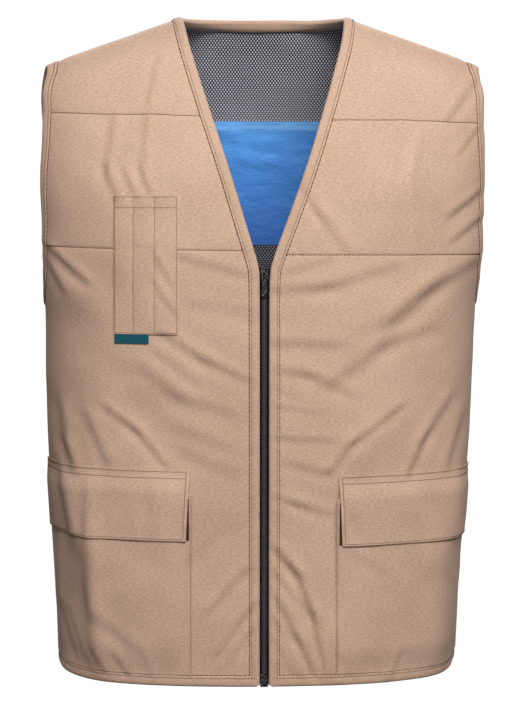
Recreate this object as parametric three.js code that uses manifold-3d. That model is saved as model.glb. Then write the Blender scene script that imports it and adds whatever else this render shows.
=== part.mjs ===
// A sleeveless work vest of tan canvas with a net lining and a band of cooling cloth round the chest.
// Millimetres. X is the viewer's right, the front faces -Y and Z is up.
// The origin lies midway between the two neck points, on the line where the shoulders carry the vest.
import * as THREE from 'three';
import { mergeVertices } from 'three/addons/utils/BufferGeometryUtils.js';
import Module from 'manifold-3d';

// Driving sizes of the body
const bodyLength = 698;
const halfWidth = 236;
const frontDepth = 128;
const backDepth = 118;
const planSquareness = 2.4;
const shoulderRound = 40;
const shoulderSlope = 0.355;
const hemRise = 8;

// Neck opening, armholes and seams
const neckHalfWidth = 89;
const backNeckReach = 40;
const neckDepth = 264;
const neckCurve = 1.1;
const zipSlot = 9.4;
const armholeDepth = 244;
const armholeFront = 48;
const armholeBack = 46;
const yokeSeamDrop = 109;
const chestSeamDrop = 249;
const backYokeSeamDrop = 107;
const backChestSeamDrop = 245;

// Cloth
const canvasThickness = 1.6;
const netThickness = 1.4;
const coolingThickness = 1.8;
const bindingThickness = 1;
const bindingWidth = 10;
const bindingFoldRoom = 0.6;
const clothGap = 0.3;
const foldHeight = 6;

// Pockets
const pocketEdge = 77;
const flapTopAboveHem = 224;
const flapHeight = 73;
const pocketMouthDrop = 24;
const pocketThickness = 1.4;
const pocketBulge = 3;
const flapLift = 3;
const penPocketLeft = 154;
const penPocketRight = 89;
const penPocketTop = 190;
const penPocketHeight = 142;
const penPocketThickness = 1.2;
const labelWidth = 35;
const labelHeight = 9.5;
const labelThickness = 0.8;

// Zip
const tapeWidth = 13;
const tapeThickness = 0.8;
const chainWidth = 5.6;
const chainThickness = 2.4;
const sliderLength = 13;
const sliderWidth = 8.6;
const plateThickness = 1.3;
const crownWidth = 2.4;
const crownLength = 7.6;
const crownHeight = 3.7;
const crownWall = 1;
const postWidth = 2.4;
const pullLength = 23;
const pullWidth = 7;
const pullThickness = 1.3;
const pullArm = 1.5;
const endBoxHeight = 12;
const endBoxWidth = 8;

// Horizontal sections of the body from the shoulders down to the hem. The level is a share of the
// body's length, the widths and depths are shares of halfWidth, frontDepth and backDepth, and the
// sway is how far the section lies to the viewer's right, a share of halfWidth.
const sections = [
  { level: 0.00, width: 1.015, front: 0.30, back: 0.50, sway: 0.018 },
  { level: 0.07, width: 1.030, front: 0.50, back: 0.70, sway: 0.018 },
  { level: 0.14, width: 1.050, front: 0.70, back: 0.85, sway: 0.018 },
  { level: 0.24, width: 1.055, front: 0.90, back: 0.97, sway: 0.020 },
  { level: 0.33, width: 1.025, front: 0.98, back: 1.00, sway: 0.016 },
  { level: 0.42, width: 0.985, front: 1.00, back: 1.00, sway: 0.008 },
  { level: 0.55, width: 0.972, front: 1.00, back: 0.95, sway: 0.000 },
  { level: 0.70, width: 0.955, front: 0.98, back: 0.92, sway: -0.004 },
  { level: 0.85, width: 0.925, front: 0.97, back: 0.93, sway: -0.006 },
  { level: 1.00, width: 0.905, front: 0.96, back: 0.95, sway: -0.010 },
];

// Broad folds and dents. A fold runs from one end to the other along a straight line and is widest
// in its middle. Places across are shares of halfWidth from the middle, places down are shares of
// bodyLength, spread is a share of halfWidth and height is a share of foldHeight, less than 0 for a dent.
const front = -1;
const back = 1;
const folds = [
  { face: front, x1: -0.95, z1: 0.37, x2: -0.72, z2: 0.44, spread: 0.10, height: 0.55 },
  { face: front, x1: 0.92, z1: 0.38, x2: 0.35, z2: 0.47, spread: 0.11, height: 0.60 },
  { face: front, x1: 0.55, z1: 0.60, x2: 0.27, z2: 0.68, spread: 0.12, height: 0.65 },
  { face: front, x1: -0.60, z1: 0.56, x2: -0.38, z2: 0.66, spread: 0.12, height: -0.60 },
  { face: front, x1: -0.45, z1: 0.08, x2: -0.52, z2: 0.24, spread: 0.10, height: 0.45 },
  { face: front, x1: 0.62, z1: 0.17, x2: 0.62, z2: 0.30, spread: 0.11, height: 0.50 },
  { face: front, x1: -0.72, z1: 0.78, x2: -0.52, z2: 0.93, spread: 0.12, height: 0.50 },
  { face: front, x1: 0.16, z1: 0.80, x2: 0.26, z2: 0.95, spread: 0.10, height: 0.45 },
  { face: back, x1: -0.80, z1: 0.38, x2: -0.30, z2: 0.47, spread: 0.12, height: 0.60 },
  { face: back, x1: 0.80, z1: 0.38, x2: 0.28, z2: 0.50, spread: 0.12, height: 0.60 },
  { face: back, x1: -0.30, z1: 0.60, x2: -0.42, z2: 0.95, spread: 0.13, height: 0.50 },
  { face: back, x1: 0.34, z1: 0.62, x2: 0.30, z2: 0.96, spread: 0.13, height: -0.50 },
];

// The seams of the two fronts, which hang a little unevenly: each drop is added at the front opening
// and at the side, for the viewer's left and right front.
const frontHang = {
  [-1]: { yokeIn: -1, yokeOut: -9, chestIn: -3, chestOut: -8, flapIn: 0, flapOut: -4 },
  [1]: { yokeIn: 1, yokeOut: 5, chestIn: 1, chestOut: 3, flapIn: 6, flapOut: 3 },
};

const halfGap = clothGap / 2;
const liningTop = canvasThickness + clothGap;
const bindingInside = liningTop + coolingThickness + clothGap;
const bindingOutside = clothGap + bindingThickness;
const bindingFold = bindingFoldRoom + bindingThickness;
const slotHalf = zipSlot / 2 + bindingFold;
const mix = THREE.MathUtils.lerp;
const clamp = THREE.MathUtils.clamp;

// One column of the section table at a height, joined by a smooth curve
function sectionAt(z, column) {
  const level = clamp(-z / bodyLength, 0, 1);
  const last = sections.length - 1;
  const slopeAt = (i) => {
    const a = sections[Math.max(i - 1, 0)];
    const b = sections[Math.min(i + 1, last)];
    return (b[column] - a[column]) / (b.level - a.level);
  };
  let i = 0;
  while (i < last - 1 && level > sections[i + 1].level) i += 1;
  const step = sections[i + 1].level - sections[i].level;
  const s = (level - sections[i].level) / step;
  const r = 1 - s;
  return sections[i][column] * (1 + 2 * s) * r * r + slopeAt(i) * step * s * r * r
    + sections[i + 1][column] * s * s * (3 - 2 * s) - slopeAt(i + 1) * step * s * s * r;
}

// A plan section runs through u from 0 at the middle of the front or back to 1 at the side
const across = (u) => Math.sin(Math.PI / 2 * clamp(u, 0, 1)) ** (2 / planSquareness);
const depth = (u) => Math.max(Math.cos(Math.PI / 2 * clamp(u, 0, 1)), 0) ** (2 / planSquareness);
const widthAt = (z) => halfWidth * sectionAt(z, 'width');
const swayAt = (z) => halfWidth * sectionAt(z, 'sway');
const depthAt = (face, z) => (face === front ? frontDepth * sectionAt(z, 'front') : backDepth * sectionAt(z, 'back'));

// The place round the section of a point that lies x to the side of the body's middle
function roundAt(x, z) {
  const share = clamp(x / widthAt(z), 0, 1);
  return 2 / Math.PI * Math.asin(share ** (planSquareness / 2));
}

// Height of the line over the shoulder where front and back meet
function ridge(u) {
  const reach = widthAt(0) * across(u);
  if (reach < neckHalfWidth) return backNeckReach * (1 - (reach / neckHalfWidth) ** 2);
  return -shoulderSlope * (reach - neckHalfWidth);
}

// How far the cloth has turned down from the shoulder line, from 0 on it to 1 below it
function turned(drop) {
  const share = clamp(drop / shoulderRound, 0, 1);
  return Math.sqrt(1 - (1 - share) ** 2);
}

function plainPoint(side, face, u, z) {
  const reach = depthAt(face, z) * turned(ridge(u) - z) * depth(u);
  return new THREE.Vector3(swayAt(z) + side * widthAt(z) * across(u), face * reach, z);
}

function normalOf(pointAt, side, face, u, z) {
  const du = 0.004;
  const dz = 0.3;
  const low = Math.min(z, ridge(u) - dz);
  const alongU = pointAt(side, face, Math.min(u + du, 1), low).sub(pointAt(side, face, Math.max(u - du, 0), low));
  const alongZ = pointAt(side, face, u, low + dz).sub(pointAt(side, face, u, low - dz));
  return alongU.cross(alongZ).multiplyScalar(-side * face).normalize();
}

// Height of the folds at a place on the cloth
function foldAt(face, x, z) {
  let height = 0;
  for (const f of folds) {
    if (f.face !== face) continue;
    const from = new THREE.Vector2(f.x1 * halfWidth, -f.z1 * bodyLength);
    const run = new THREE.Vector2(f.x2 * halfWidth, -f.z2 * bodyLength).sub(from);
    const place = new THREE.Vector2(x, z).sub(from);
    const along = clamp(place.dot(run) / run.lengthSq(), 0, 1);
    const away = place.addScaledVector(run, -along).length() / (f.spread * halfWidth);
    height += f.height * foldHeight * Math.exp(-away * away) * (0.55 + 0.45 * Math.sin(Math.PI * along));
  }
  return height;
}

function clothPoint(side, face, u, z) {
  const p = plainPoint(side, face, u, z);
  const fade = Math.min(1, (1 - u) * 8);
  return p.addScaledVector(normalOf(plainPoint, side, face, u, z), foldAt(face, p.x, z) * fade);
}

// A vertex of the cloth with its outward direction. The seam says which line it lies on, if any:
// a side or shoulder seam, where the two panels stop half a gap short of each other.
function vertex(side, face, u, z, seam = '') {
  const point = clothPoint(side, face, u, z);
  const normal = normalOf(clothPoint, side, face, u, z);
  if (seam) {
    point.y = face * halfGap;
    normal.setY(0).normalize();
  }
  return { point, normal, u, z };
}

// Half of the front opening at a height, and where its middle lies
function openingHalf(z) {
  const share = clamp(-z / neckDepth, 0, 1);
  return mix(neckHalfWidth, slotHalf, share ** neckCurve);
}
function openingMiddle(z) {
  const share = clamp(-z / neckDepth, 0, 1);
  return swayAt(z) * (1 - share ** 3);
}

// The place round the section of the front edge, or of the line that lies inset from it
function openingRound(side, z, inset) {
  const step = 1;
  const slope = (openingHalf(z + step) - openingHalf(z - step)) / (2 * step);
  const alongRow = inset * Math.hypot(1, slope);
  return roundAt(side * (openingMiddle(z) - swayAt(z)) + openingHalf(z) + alongRow, z);
}

// The armhole is an oval seen from the side. Its angle runs from 0 at the shoulder to PI at the armpit.
const tipRound = roundAt(widthAt(0) * 0.985, 0);
const tipHeight = ridge(tipRound);
const armholeMiddle = tipHeight - armholeDepth / 2;
const armpit = tipHeight - armholeDepth;

// The place round the section where the cloth lies y in front of or behind the side at a height
function roundFromSide(face, y, z) {
  let low = 0;
  let high = 1;
  for (let i = 0; i < 40; i += 1) {
    const u = (low + high) / 2;
    if (depthAt(face, z) * turned(ridge(u) - z) * depth(u) > y) low = u;
    else high = u;
  }
  return (low + high) / 2;
}

function armholeEdge(face, angle) {
  const reach = (face === front ? armholeFront : armholeBack) * Math.sin(angle) ** 0.8;
  const z = armholeMiddle + armholeDepth / 2 * Math.cos(angle);
  return { u: roundFromSide(face, reach, z), z };
}

// The line that lies inset from the armhole's edge, measured on the cloth
function armholeInset(side, face, angle) {
  const edge = armholeEdge(face, angle);
  if (angle < 0.01) {
    const reach = widthAt(0) * across(edge.u) - bindingWidth;
    const u = roundAt(reach, 0);
    return { edge, u, z: ridge(u) };
  }
  if (angle > Math.PI - 0.01) return { edge, u: 1, z: edge.z - bindingWidth };
  const before = armholeEdge(face, angle - 0.005);
  const after = armholeEdge(face, angle + 0.005);
  const along = plainPoint(side, face, after.u, after.z).sub(plainPoint(side, face, before.u, before.z));
  const inward = normalOf(plainPoint, side, face, edge.u, edge.z).cross(along).normalize();
  const sign = side * face;
  const inset = plainPoint(side, face, edge.u, edge.z).addScaledVector(inward, sign * bindingWidth);
  return { edge, u: roundFromSide(face, Math.abs(inset.y), inset.z), z: inset.z };
}

// The armhole's inset line where it crosses a row of the cloth, and the edge beside it
function armholeAt(side, face, rowHeight) {
  let low = 0;
  let high = Math.PI;
  for (let i = 0; i < 40; i += 1) {
    const angle = (low + high) / 2;
    const at = armholeInset(side, face, angle);
    if (at.z > rowHeight(at.u)) low = angle;
    else high = angle;
  }
  return armholeInset(side, face, (low + high) / 2);
}

// A surface of cloth: vertices, and triangles that all face outwards
function newSurface() {
  return { vertices: [], triangles: [], places: new Map() };
}
function addVertex(surface, v) {
  const key = v.point.toArray().map((c) => Math.round(c * 2000)).join(',');
  if (!surface.places.has(key)) {
    surface.places.set(key, surface.vertices.length);
    surface.vertices.push(v);
  }
  return surface.places.get(key);
}
function addTriangle(surface, corners) {
  const [a, b, c] = corners.map((v) => addVertex(surface, v));
  if (a === b || b === c || c === a) return;
  const [p, q, r] = corners.map((v) => v.point);
  const facing = q.clone().sub(p).cross(r.clone().sub(p)).dot(corners[0].normal);
  surface.triangles.push(facing > 0 ? [a, b, c] : [a, c, b]);
}
function addGrid(surface, rows) {
  for (let i = 0; i + 1 < rows.length; i += 1) {
    for (let k = 0; k + 1 < rows[i].length; k += 1) {
      const [a, b, c, d] = [rows[i][k], rows[i][k + 1], rows[i + 1][k + 1], rows[i + 1][k]];
      addTriangle(surface, [a, b, c]);
      addTriangle(surface, [a, c, d]);
    }
  }
  return surface;
}

function geometryOf(points, triangles) {
  const geometry = new THREE.BufferGeometry();
  geometry.setAttribute('position', new THREE.Float32BufferAttribute(points.flatMap((p) => p.toArray()), 3));
  geometry.setIndex(triangles.flat());
  return geometry;
}

// A sheet as a closed solid between two heights above the surface
function thicken(surface, outer, inner) {
  const lift = (v, by) => v.point.clone().addScaledVector(v.normal, typeof by === 'function' ? by(v) : by);
  const count = surface.vertices.length;
  const points = [...surface.vertices.map((v) => lift(v, outer)), ...surface.vertices.map((v) => lift(v, inner))];
  const triangles = [];
  const edges = new Map();
  for (const [a, b, c] of surface.triangles) {
    triangles.push([a, b, c], [a + count, c + count, b + count]);
    for (const [from, to] of [[a, b], [b, c], [c, a]]) edges.set(`${from},${to}`, [from, to]);
  }
  for (const [from, to] of edges.values()) {
    if (edges.has(`${to},${from}`)) continue;
    triangles.push([from, from + count, to + count], [from, to + count, to]);
  }
  return geometryOf(points, triangles);
}

const group = new THREE.Group();
const finish = (color, roughness, metalness = 0) => ({ color, roughness, metalness });
const canvas = finish(0xbf9f88, 0.9);
const bindingTape = finish(0xb8988a, 0.85);
const net = finish(0x3a3a40, 0.8);
const cooling = finish(0x3f78c2, 0.7);
const zipBlack = finish(0x141416, 0.5);
const zipMetal = finish(0x1b1b1d, 0.35, 0.6);
const teal = finish(0x0b4a58, 0.7);

function addNode(name, geometry, look) {
  const mesh = new THREE.Mesh(geometry, new THREE.MeshStandardMaterial(look));
  mesh.name = name;
  group.add(mesh);
}

// Lines that run round the body, each as the height it has at a place round the section
const hem = (u) => -bodyLength + hemRise * u ** 4;
const hemInset = (u) => hem(u) + bindingWidth;
const armpitRow = () => armpit - bindingWidth;
const armholeFoot = [0.03, 0.07].map((share, i) => ({
  line: `armholeFoot${i}`,
  height: () => armpitRow() + share * armholeDepth,
}));
const flat = (height) => () => height;

// The rows of a panel set: the lines in order from the shoulder down, with further rows between them
// where two lines are further apart than the pitch
function rowsBetween(lines, pitch) {
  const ordered = [...lines].sort((a, b) => b.height(1) - a.height(1));
  const shoulderRows = [0, 0.07, 0.26, 0.58, 1];
  const rows = [];
  const [seam] = ordered;
  for (const share of shoulderRows) {
    rows.push({ height: (u) => mix(ridge(u), seam.height(u), share), line: '' });
  }
  rows[0].line = 'ridge';
  rows[rows.length - 1].line = seam.line;
  for (let i = 1; i < ordered.length; i += 1) {
    const [above, below] = [ordered[i - 1], ordered[i]];
    const steps = Math.max(1, Math.round((above.height(1) - below.height(1)) / pitch));
    for (let k = 1; k < steps; k += 1) {
      rows.push({ height: (u) => mix(above.height(u), below.height(u), k / steps), line: '' });
    }
    rows.push(below);
  }
  return rows;
}

// The outer end of a row: on the armhole's inset line and edge, or at the side seam below the armpit
function outerEnd(side, face, height) {
  if (height(1) < armpitRow() + 0.001) {
    const corner = height(1) > armpitRow() - 0.001;
    const inset = { u: 1, z: height(1), seam: 'side' };
    return { inset, edge: corner ? { u: 1, z: armpit, seam: 'side' } : null };
  }
  const at = armholeAt(side, face, height);
  return { inset: { u: at.u, z: height(at.u), seam: '' }, edge: { ...at.edge, seam: '' } };
}

// One row of a front: the edge and inset points at the opening, the inner points and the outer end
function frontRow(side, row, columns, shift) {
  const height = (u) => row.height(u) + shift;
  const onRidge = row.line === 'ridge';
  const seam = onRidge ? 'ridge' : '';
  let level = onRidge ? 0 : height(0.3);
  for (let i = 0; i < 12 && !onRidge; i += 1) level = height(openingRound(side, level, bindingWidth));
  const inset = openingRound(side, level, bindingWidth);
  const edge = openingRound(side, level, 0);
  const z = height(inset);
  const end = outerEnd(side, front, height);
  const at = (u, level, line) => vertex(side, front, u, level, line);
  const edgePoint = at(edge, onRidge ? 0 : z, seam);
  const cells = [at(inset, z, seam)];
  for (const share of columns(inset, end.inset.u, z)) {
    const u = mix(inset, end.inset.u, share);
    cells.push(at(u, height(u), seam));
  }
  cells.push(at(end.inset.u, end.inset.z, end.inset.seam || seam));
  const outer = end.edge ? at(end.edge.u, end.edge.z, end.edge.seam || seam) : null;
  return { edgePoint, cells, outer, line: row.line };
}

// Places of the inner columns of a front as shares of the row's width. Below the yoke they stand at
// fixed places round the body, so that the pockets' edges lie on them.
function frontColumns(side, seamHeight) {
  const inner = side < 0 ? [pocketEdge, penPocketRight, penPocketLeft - labelWidth, penPocketLeft] : [pocketEdge];
  const outerCells = side < 0 ? 5 : 8;
  const fixed = inner.map((x) => roundAt(x, -bodyLength / 2));
  const last = fixed[fixed.length - 1];
  const sharesFor = (from, to) => {
    const inside = fixed.map((u) => (u - from) / (to - from));
    const rest = (last - from) / (to - from);
    const first = [inside[0] / 2];
    const others = [];
    for (let k = 1; k < outerCells; k += 1) others.push(mix(rest, 1, k / outerCells));
    return [...first, ...inside, ...others];
  };
  const atSeam = sharesFor(openingRound(side, seamHeight, bindingWidth), roundFromSide(front, armholeFront, seamHeight));
  return (from, to, z) => (z > seamHeight ? atSeam : sharesFor(from, to));
}

function backNeckEnd(side, share) {
  const reach = neckHalfWidth * Math.sin(Math.PI / 2 * share);
  const at = (r) => plainPoint(side, back, roundAt(r, 0), 0);
  if (share > 0.999) {
    const insetRound = openingRound(side, 0, bindingWidth);
    return {
      edge: vertex(side, back, openingRound(side, 0, 0), 0, 'ridge'),
      inset: vertex(side, back, insetRound, ridge(insetRound), 'ridge'),
    };
  }
  const edge = at(reach);
  const along = at(reach + 0.2).sub(at(Math.max(reach - 0.2, 0)));
  const normal = normalOf(plainPoint, side, back, roundAt(reach, 0), 0);
  const inward = normal.cross(along).normalize().multiplyScalar(side * bindingWidth);
  const goal = edge.clone().add(inward);
  const insetRound = roundAt(side * (goal.x - swayAt(0)), 0);
  let high = Math.min(0, ridge(insetRound));
  let low = high - 2 * bindingWidth;
  for (let i = 0; i < 60; i += 1) {
    const [upper, lower] = [mix(high, low, 1 / 3), mix(high, low, 2 / 3)];
    const away = (z) => plainPoint(side, back, insetRound, z).distanceTo(goal);
    if (away(upper) < away(lower)) low = lower;
    else high = upper;
  }
  return { edge: vertex(side, back, roundAt(reach, 0), 0), inset: vertex(side, back, insetRound, high) };
}

// One row of the back, from the viewer's left armhole to the right one
const neckShares = [0, 0.27, 0.52, 0.75, 0.9, 1];
const neckCells = neckShares.length - 1;
const sideCells = 6;
const neckEnds = [];
for (let k = -neckCells; k <= neckCells; k += 1) {
  neckEnds.push(backNeckEnd(k < 0 ? -1 : 1, neckShares[Math.abs(k)]));
}
function backRow(row, shift, yokeShare) {
  const height = (u) => row.height(u) + shift;
  const neckPlaces = neckEnds.map((end, i) => ({ ...end.inset, side: i < neckCells ? -1 : 1 }));
  const seam = row.line === 'ridge' ? 'ridge' : '';
  const half = (side) => {
    const end = outerEnd(side, back, height);
    const from = neckPlaces[0].u;
    const cells = [];
    for (let k = 1; k < sideCells; k += 1) {
      const u = mix(from, end.inset.u, k / sideCells);
      cells.push(vertex(side, back, u, height(u), seam));
    }
    cells.push(vertex(side, back, end.inset.u, end.inset.z, end.inset.seam || seam));
    const outer = end.edge ? vertex(side, back, end.edge.u, end.edge.z, end.edge.seam || seam) : null;
    return { cells, outer };
  };
  const middle = neckPlaces.map((place, i) => {
    if (row.line === 'ridge') return neckEnds[i].inset;
    const z = yokeShare < 1 ? mix(place.z, backYokeSeam(place.u), yokeShare) : height(place.u);
    return vertex(place.side, back, place.u, z);
  });
  const [left, right] = [half(-1), half(1)];
  const cells = [...left.cells.reverse(), ...middle, ...right.cells];
  return { cells, leftOuter: left.outer, rightOuter: right.outer, line: row.line };
}
const backYokeSeam = flat(-backYokeSeamDrop);

// The rows of one front
const frontPitch = 48;
const backPitch = 74;
function frontRows(side) {
  const hang = frontHang[side];
  const yokeSeam = (u) => -yokeSeamDrop - mix(hang.yokeIn, hang.yokeOut, u);
  const chestSeam = (u) => -chestSeamDrop - mix(hang.chestIn, hang.chestOut, u);
  const flapTop = (u) => -bodyLength + flapTopAboveHem - mix(hang.flapIn, hang.flapOut, u);
  const lines = [
    { line: 'yokeSeam', height: yokeSeam },
    { line: 'chestSeam', height: chestSeam },
    { line: 'neckFoot', height: flat(-neckDepth) },
    ...armholeFoot,
    { line: 'armpit', height: armpitRow },
    { line: 'flapTop', height: flapTop },
    { line: 'pocketMouth', height: (u) => flapTop(u) - pocketMouthDrop },
    { line: 'flapBottom', height: (u) => flapTop(u) - flapHeight },
    { line: 'hemInset', height: hemInset },
    { line: 'hem', height: hem },
  ];
  if (side < 0) {
    lines.push({ line: 'penTop', height: flat(-penPocketTop) });
    lines.push({ line: 'penBottom', height: flat(-penPocketTop - penPocketHeight) });
  }
  const columns = frontColumns(side, yokeSeam(0.3));
  return rowsBetween(lines, frontPitch).map((row) => {
    const seam = row.line === 'yokeSeam' || row.line === 'chestSeam';
    const plain = frontRow(side, row, columns, 0);
    if (!seam) return plain;
    return { ...plain, above: frontRow(side, row, columns, halfGap), below: frontRow(side, row, columns, -halfGap) };
  });
}

function backRows() {
  const lines = [
    { line: 'yokeSeam', height: backYokeSeam },
    { line: 'chestSeam', height: flat(-backChestSeamDrop) },
    ...armholeFoot,
    { line: 'armpit', height: armpitRow },
    { line: 'hemInset', height: hemInset },
    { line: 'hem', height: hem },
  ];
  const rows = rowsBetween(lines, backPitch);
  const seamAt = rows.findIndex((row) => row.line === 'yokeSeam');
  const shares = [0, 0.07, 0.26, 0.58, 1];
  return rows.map((row, i) => {
    const share = i < seamAt ? shares[i] : 1;
    const plain = backRow(row, 0, share);
    const seam = row.line === 'yokeSeam' || row.line === 'chestSeam';
    if (!seam) return plain;
    return { ...plain, above: backRow(row, halfGap, 1), below: backRow(row, -halfGap, 1) };
  });
}

// The rows from one line down to another, cut half a gap short of the seams
function panelRows(rows, from, to) {
  const start = rows.findIndex((row) => row.line === from);
  const stop = rows.findIndex((row) => row.line === to);
  const part = rows.slice(start, stop + 1);
  part[0] = part[0].below ?? part[0];
  part[part.length - 1] = part[part.length - 1].above ?? part[part.length - 1];
  return part;
}

function addStrip(surface, rows, edgeOf, insetOf) {
  for (let i = 0; i + 1 < rows.length; i += 1) {
    const [e, f] = [edgeOf(rows[i]), edgeOf(rows[i + 1])];
    if (!e || !f) continue;
    const [b, c] = [insetOf(rows[i]), insetOf(rows[i + 1])];
    addTriangle(surface, [e, b, c]);
    addTriangle(surface, [e, c, f]);
  }
}

const firstCell = (row) => row.cells[0];
const lastCell = (row) => row.cells[row.cells.length - 1];

function frontSurface(rows) {
  const surface = addGrid(newSurface(), rows.map((row) => row.cells));
  addStrip(surface, rows, (row) => row.edgePoint, firstCell);
  addStrip(surface, rows, (row) => row.outer, lastCell);
  return surface;
}
function backSurface(rows) {
  const surface = addGrid(newSurface(), rows.map((row) => row.cells));
  addStrip(surface, rows, (row) => row.leftOuter, firstCell);
  addStrip(surface, rows, (row) => row.rightOuter, lastCell);
  if (rows[0].line === 'ridge') addStrip(surface, neckEnds, (end) => end.edge, (end) => end.inset);
  return surface;
}

const fronts = { [-1]: frontRows(-1), [1]: frontRows(1) };
const backAll = backRows();
const sideName = { [-1]: 'left', [1]: 'right' };
const panels = [
  { name: 'yoke', from: 'ridge', to: 'yokeSeam', lining: 'net_yoke', look: net, thickness: netThickness },
  { name: 'chest', from: 'yokeSeam', to: 'chestSeam', lining: 'cooling_band', look: cooling, thickness: coolingThickness },
  { name: 'lower', from: 'chestSeam', to: 'hem', lining: 'net_lower', look: net, thickness: netThickness },
];

// Canvas outside and lining inside, three panels down each front and down the back
for (const panel of panels) {
  const addLayers = (surface, place) => {
    addNode(`${place}_${panel.name}`, thicken(surface, 0, -canvasThickness), canvas);
    const inside = thicken(surface, -liningTop, -liningTop - panel.thickness);
    addNode(`${panel.lining}_${place}`, inside, panel.look);
  };
  for (const side of [-1, 1]) {
    addLayers(frontSurface(panelRows(fronts[side], panel.from, panel.to)), `front_${sideName[side]}`);
  }
  addLayers(backSurface(panelRows(backAll, panel.from, panel.to)), 'back');
}

// A binding folds over the edge of the cloth. Its section goes round both layers, and its stations
// are the edge points of the cloth with the inset points beside them.
function bindingGeometry(stations, flips, closed) {
  const rings = stations.map(({ edge, inset }) => {
    const inward = inset.point.clone().sub(edge.point).normalize();
    const at = (v, along, off) => v.point.clone().addScaledVector(inward, along).addScaledVector(v.normal, off);
    const inner = -bindingInside;
    return [
      at(inset, 0, bindingOutside),
      at(edge, -bindingFold, bindingOutside),
      at(edge, -bindingFold, inner - bindingThickness),
      at(inset, 0, inner - bindingThickness),
      at(inset, 0, inner),
      at(edge, -bindingFoldRoom, inner),
      at(edge, -bindingFoldRoom, clothGap),
      at(inset, 0, clothGap),
    ];
  });
  const sides = rings[0].length;
  const startsAtEdge = [false, true, true, false, false, true, true, false];
  const triangles = [];
  const count = closed ? rings.length : rings.length - 1;
  for (let i = 0; i < count; i += 1) {
    const next = (i + 1) % rings.length;
    for (let k = 0; k < sides; k += 1) {
      const m = (k + 1) % sides;
      const [a, b, c, d] = [i * sides + k, i * sides + m, next * sides + m, next * sides + k];
      if (startsAtEdge[k] !== flips[i]) triangles.push([a, b, c], [a, c, d]);
      else triangles.push([a, b, d], [b, c, d]);
    }
  }
  if (!closed) {
    const end = (rings.length - 1) * sides;
    for (const [a, b, c, d] of [[0, 1, 6, 7], [1, 2, 5, 6], [2, 3, 4, 5]]) {
      triangles.push([a, c, b], [a, d, c]);
      triangles.push([end + a, end + b, end + c], [end + a, end + c, end + d]);
    }
  }
  const geometry = geometryOf(rings.flat(), triangles);
  return volumeOf(geometry) > 0 ? geometry : geometryOf(rings.flat(), triangles.map(([a, b, c]) => [a, c, b]));
}

function volumeOf(geometry) {
  const position = geometry.getAttribute('position');
  const index = geometry.getIndex();
  const corner = (i) => new THREE.Vector3().fromBufferAttribute(position, index.getX(i));
  let volume = 0;
  for (let i = 0; i < index.count; i += 3) volume += corner(i).dot(corner(i + 1).cross(corner(i + 2))) / 6;
  return volume;
}

// A path of stations made of runs, each taken in the order of its rows or against it
function newPath() {
  return { stations: [], flips: [] };
}
function addRun(path, stations, reversed) {
  const run = reversed ? [...stations].reverse() : stations;
  run.forEach((station, i) => {
    if (i === 0 && path.stations.length > 0) return;
    if (path.stations.length > 0) path.flips.push(reversed);
    path.stations.push(station);
  });
}

// One binding up a front edge, round the back of the neck and down the other front edge
const openingStations = (side) => fronts[side].map((row) => ({ edge: row.edgePoint, inset: firstCell(row) }));
const onSeam = (v) => ({ ...v, point: v.point.clone().setY(0) });
const centred = ({ edge, inset }) => ({ edge: onSeam(edge), inset: onSeam(inset) });
const neckPath = newPath();
const [leftOpening, rightOpening] = [openingStations(-1), openingStations(1)];
leftOpening[0] = centred(leftOpening[0]);
rightOpening[0] = centred(rightOpening[0]);
const pastHem = ({ edge, inset }) => {
  const drop = new THREE.Vector3(0, 0, -bindingFold);
  const lower = (v) => ({ ...v, point: v.point.clone().add(drop) });
  return { edge: lower(edge), inset: lower(inset) };
};
leftOpening.push(pastHem(leftOpening[leftOpening.length - 1]));
rightOpening.push(pastHem(rightOpening[rightOpening.length - 1]));
addRun(neckPath, leftOpening, true);
addRun(neckPath, neckEnds, false);
addRun(neckPath, rightOpening, false);
addNode('edge_binding', bindingGeometry(neckPath.stations, neckPath.flips, false), bindingTape);

// A closed binding round each armhole
for (const side of [-1, 1]) {
  const frontRun = fronts[side].filter((row) => row.outer).map((row) => ({ edge: row.outer, inset: lastCell(row) }));
  const backEdge = (row) => (side < 0 ? row.leftOuter : row.rightOuter);
  const backInset = side < 0 ? firstCell : lastCell;
  const backRun = backAll.filter(backEdge).map((row) => ({ edge: backEdge(row), inset: backInset(row) }));
  const ends = (run) => run.map((station, i) => (i === 0 || i === run.length - 1 ? centred(station) : station));
  const path = newPath();
  addRun(path, ends(frontRun), false);
  addRun(path, ends(backRun), true);
  path.stations.pop();
  addNode(`armhole_binding_${sideName[side]}`, bindingGeometry(path.stations, path.flips, true), bindingTape);
}

// A point part of the way from one vertex to another, on the straight line between them
function between(v, w, share) {
  const normal = v.normal.clone().lerp(w.normal, share).normalize();
  return { ...v, point: v.point.clone().lerp(w.point, share), normal };
}
const stepIn = (v, w, distance) => between(v, w, distance / v.point.distanceTo(w.point));

// The hem's binding, from beside one front edge round the back to beside the other
function hemRun(rows) {
  const edge = rows.find((row) => row.line === 'hem').cells;
  const inset = rows.find((row) => row.line === 'hemInset').cells;
  return inset.map((v, i) => ({ edge: edge[i], inset: v }));
}
function hemFrontRun(side) {
  const run = hemRun(fronts[side]);
  const [first, second] = run;
  run[0] = { edge: stepIn(first.edge, second.edge, 2 * clothGap), inset: stepIn(first.inset, second.inset, 2 * clothGap) };
  run[run.length - 1] = centred(run[run.length - 1]);
  return run;
}
const hemPath = newPath();
addRun(hemPath, hemFrontRun(-1), false);
addRun(hemPath, hemRun(backAll), false);
addRun(hemPath, hemFrontRun(1), true);
addNode('hem_binding', bindingGeometry(hemPath.stations, hemPath.flips, false), bindingTape);

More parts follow.
